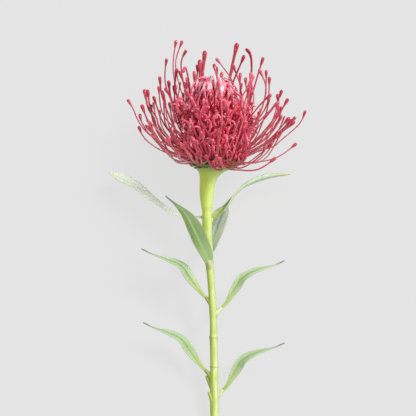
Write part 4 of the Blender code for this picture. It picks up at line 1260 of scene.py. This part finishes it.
class ProteaGreens(bpy.types.PropertyGroup):
    """The sizes and colours of the stem, the bracts and the leaves."""

    leaf_thickness: size("Leaf thickness", "Thickness of a leaf next to its midrib", 0.7, 0.6, 1.2)
    # Painted light on the stem's right side.
    lit_lime: colour("Lime", "Right side of the stem", (0.54, 0.63, 0.23))
    leaf_green: colour("Leaf green", "Middle of the stem", (0.46, 0.57, 0.11))
    # Paler painted light on the stem's right edge.
    lit_straw: colour("Straw", "Pale right edge of the stem", (0.45, 0.5, 0.26))
    olive: colour("Olive", "Darker green of the bracts", (0.14, 0.165, 0.045))
    moss: colour("Moss", "Lighter green of the bracts and the rim under them", (0.28, 0.34, 0.09))
    brown: colour("Brown", "Dry bract tips and joints of the stem", (0.22, 0.13, 0.06))
    # Painted shade on the stem's left side; the same olive also goes in cloudy patches.
    shade: colour("Shaded green", "Olive green of the stem's left side", (0.36, 0.44, 0.055))
    # A painted highlight in streaks right of the stem's middle.
    highlight: colour("Pale streak", "Palest streaks of the stem", (0.7, 0.78, 0.42))
    # The flare's painted shade at its left and painted light at its right.
    flare_shaded: colour("Flare, left", "Left side of the flare under the head", (0.52, 0.65, 0.065))
    flare_lit: colour("Flare, right", "Right side of the flare under the head", (0.62, 0.76, 0.21))
    # Painted shade on the nubs at the stem's left and painted light on those at its right.
    husk_shaded: colour("Dark husk", "Nubs on the stem's left side", (0.3, 0.29, 0.11))
    husk_lit: colour("Pale husk", "Nubs on the stem's right side", (0.66, 0.7, 0.44))
    leaf_under: colour("Leaf underside", "Pale mint of the leaves' undersides", (0.62, 0.78, 0.64))
    tip_grey: colour("Leaf tip", "Dry thin end of a leaf", (0.2, 0.21, 0.17))
    scorch: colour("Scorch", "Dry touches on the leaf margins", (0.42, 0.35, 0.22))


class ProteaStage(bpy.types.PropertyGroup):
    """The floor and the light."""

    floor: colour("Floor", "Colour of the floor", (0.06, 0.06, 0.06))
    floor_glow: amount("Floor glow", "Light that the floor gives off, which keeps shadows faint", 0.692, 0, 1)
    fill_light: amount("Fill light", "Strength of the light from all around", 0.62, 0, 3)
    key_light: amount("Key light", "Strength of the soft light from the upper right", 1.1, 0, 9)
    accent_light: amount("Accent light", "Strength of the small light that gives highlights", 1.9, 0, 9)
    softness: amount("Softness", "How wide the soft light looks from the flower, in degrees", 32, 1, 120)


class PROTEA_OT_stem(bpy.types.Operator):
    """Builds the stem with its flare, joints and nubs"""

    bl_idname = "protea.stem"
    bl_label = "Stem"

    def execute(self, context):
        build_stem(context.scene.protea_greens)
        return {"FINISHED"}


class PROTEA_OT_collar(bpy.types.Operator):
    """Builds the collar of bracts under the head"""

    bl_idname = "protea.collar"
    bl_label = "Bract collar"

    def execute(self, context):
        build_collar(context.scene.protea_greens)
        return {"FINISHED"}


class PROTEA_OT_core(bpy.types.Operator):
    """Builds the core of the head with its buds"""

    bl_idname = "protea.core"
    bl_label = "Core"

    def execute(self, context):
        build_core(context.scene.protea_head)
        return {"FINISHED"}


class PROTEA_OT_whorls(bpy.types.Operator):
    """Builds the outer whorls of styles and the ones that show singly"""

    bl_idname = "protea.whorls"
    bl_label = "Outer styles"

    def execute(self, context):
        build_whorls(context.scene.protea_head)
        return {"FINISHED"}


class PROTEA_OT_dome(bpy.types.Operator):
    """Builds the inner styles, loops and ribbons round the top of the core"""

    bl_idname = "protea.dome"
    bl_label = "Inner styles"

    def execute(self, context):
        build_dome(context.scene.protea_head)
        return {"FINISHED"}


class PROTEA_OT_leaves(bpy.types.Operator):
    """Builds every leaf"""

    bl_idname = "protea.leaves"
    bl_label = "Leaves"

    def execute(self, context):
        for name in LEAVES:
            build_leaf(name, context.scene.protea_greens)
        return {"FINISHED"}


class PROTEA_OT_stage(bpy.types.Operator):
    """Sets up the floor, the light and the camera"""

    bl_idname = "protea.stage"
    bl_label = "Stage"

    def execute(self, context):
        stage = context.scene.protea_stage
        build_floor(stage)
        build_light(stage)
        build_camera()
        return {"FINISHED"}


OPERATORS = (
    PROTEA_OT_stem, PROTEA_OT_collar, PROTEA_OT_core, PROTEA_OT_whorls, PROTEA_OT_dome, PROTEA_OT_leaves,
    PROTEA_OT_stage,
)


class PROTEA_PT_panel(bpy.types.Panel):
    """Lists the pieces of the flower"""

    bl_label = "Pincushion Protea"
    bl_space_type = "VIEW_3D"
    bl_region_type = "UI"
    bl_category = "Protea"

    def draw(self, context):
        for group in (context.scene.protea_head, context.scene.protea_greens, context.scene.protea_stage):
            box = self.layout.box()
            for name in group.__annotations__:
                box.prop(group, name)
        for operator in OPERATORS:
            self.layout.operator(operator.bl_idname)


GROUPS = {"protea_head": ProteaHead, "protea_greens": ProteaGreens, "protea_stage": ProteaStage}


def register():
    for kind in (*GROUPS.values(), *OPERATORS, PROTEA_PT_panel):
        bpy.utils.register_class(kind)
    for name, group in GROUPS.items():
        setattr(bpy.types.Scene, name, bpy.props.PointerProperty(type=group))


def unregister():
    for name in GROUPS:
        delattr(bpy.types.Scene, name)
    for kind in (PROTEA_PT_panel, *reversed(OPERATORS), *GROUPS.values()):
        bpy.utils.unregister_class(kind)


def main():
    register()
    bpy.ops.protea.stem()
    bpy.ops.protea.collar()
    bpy.ops.protea.core()
    bpy.ops.protea.whorls()
    bpy.ops.protea.dome()
    bpy.ops.protea.leaves()
    bpy.ops.protea.stage()


if __name__ == "__main__":
    main()
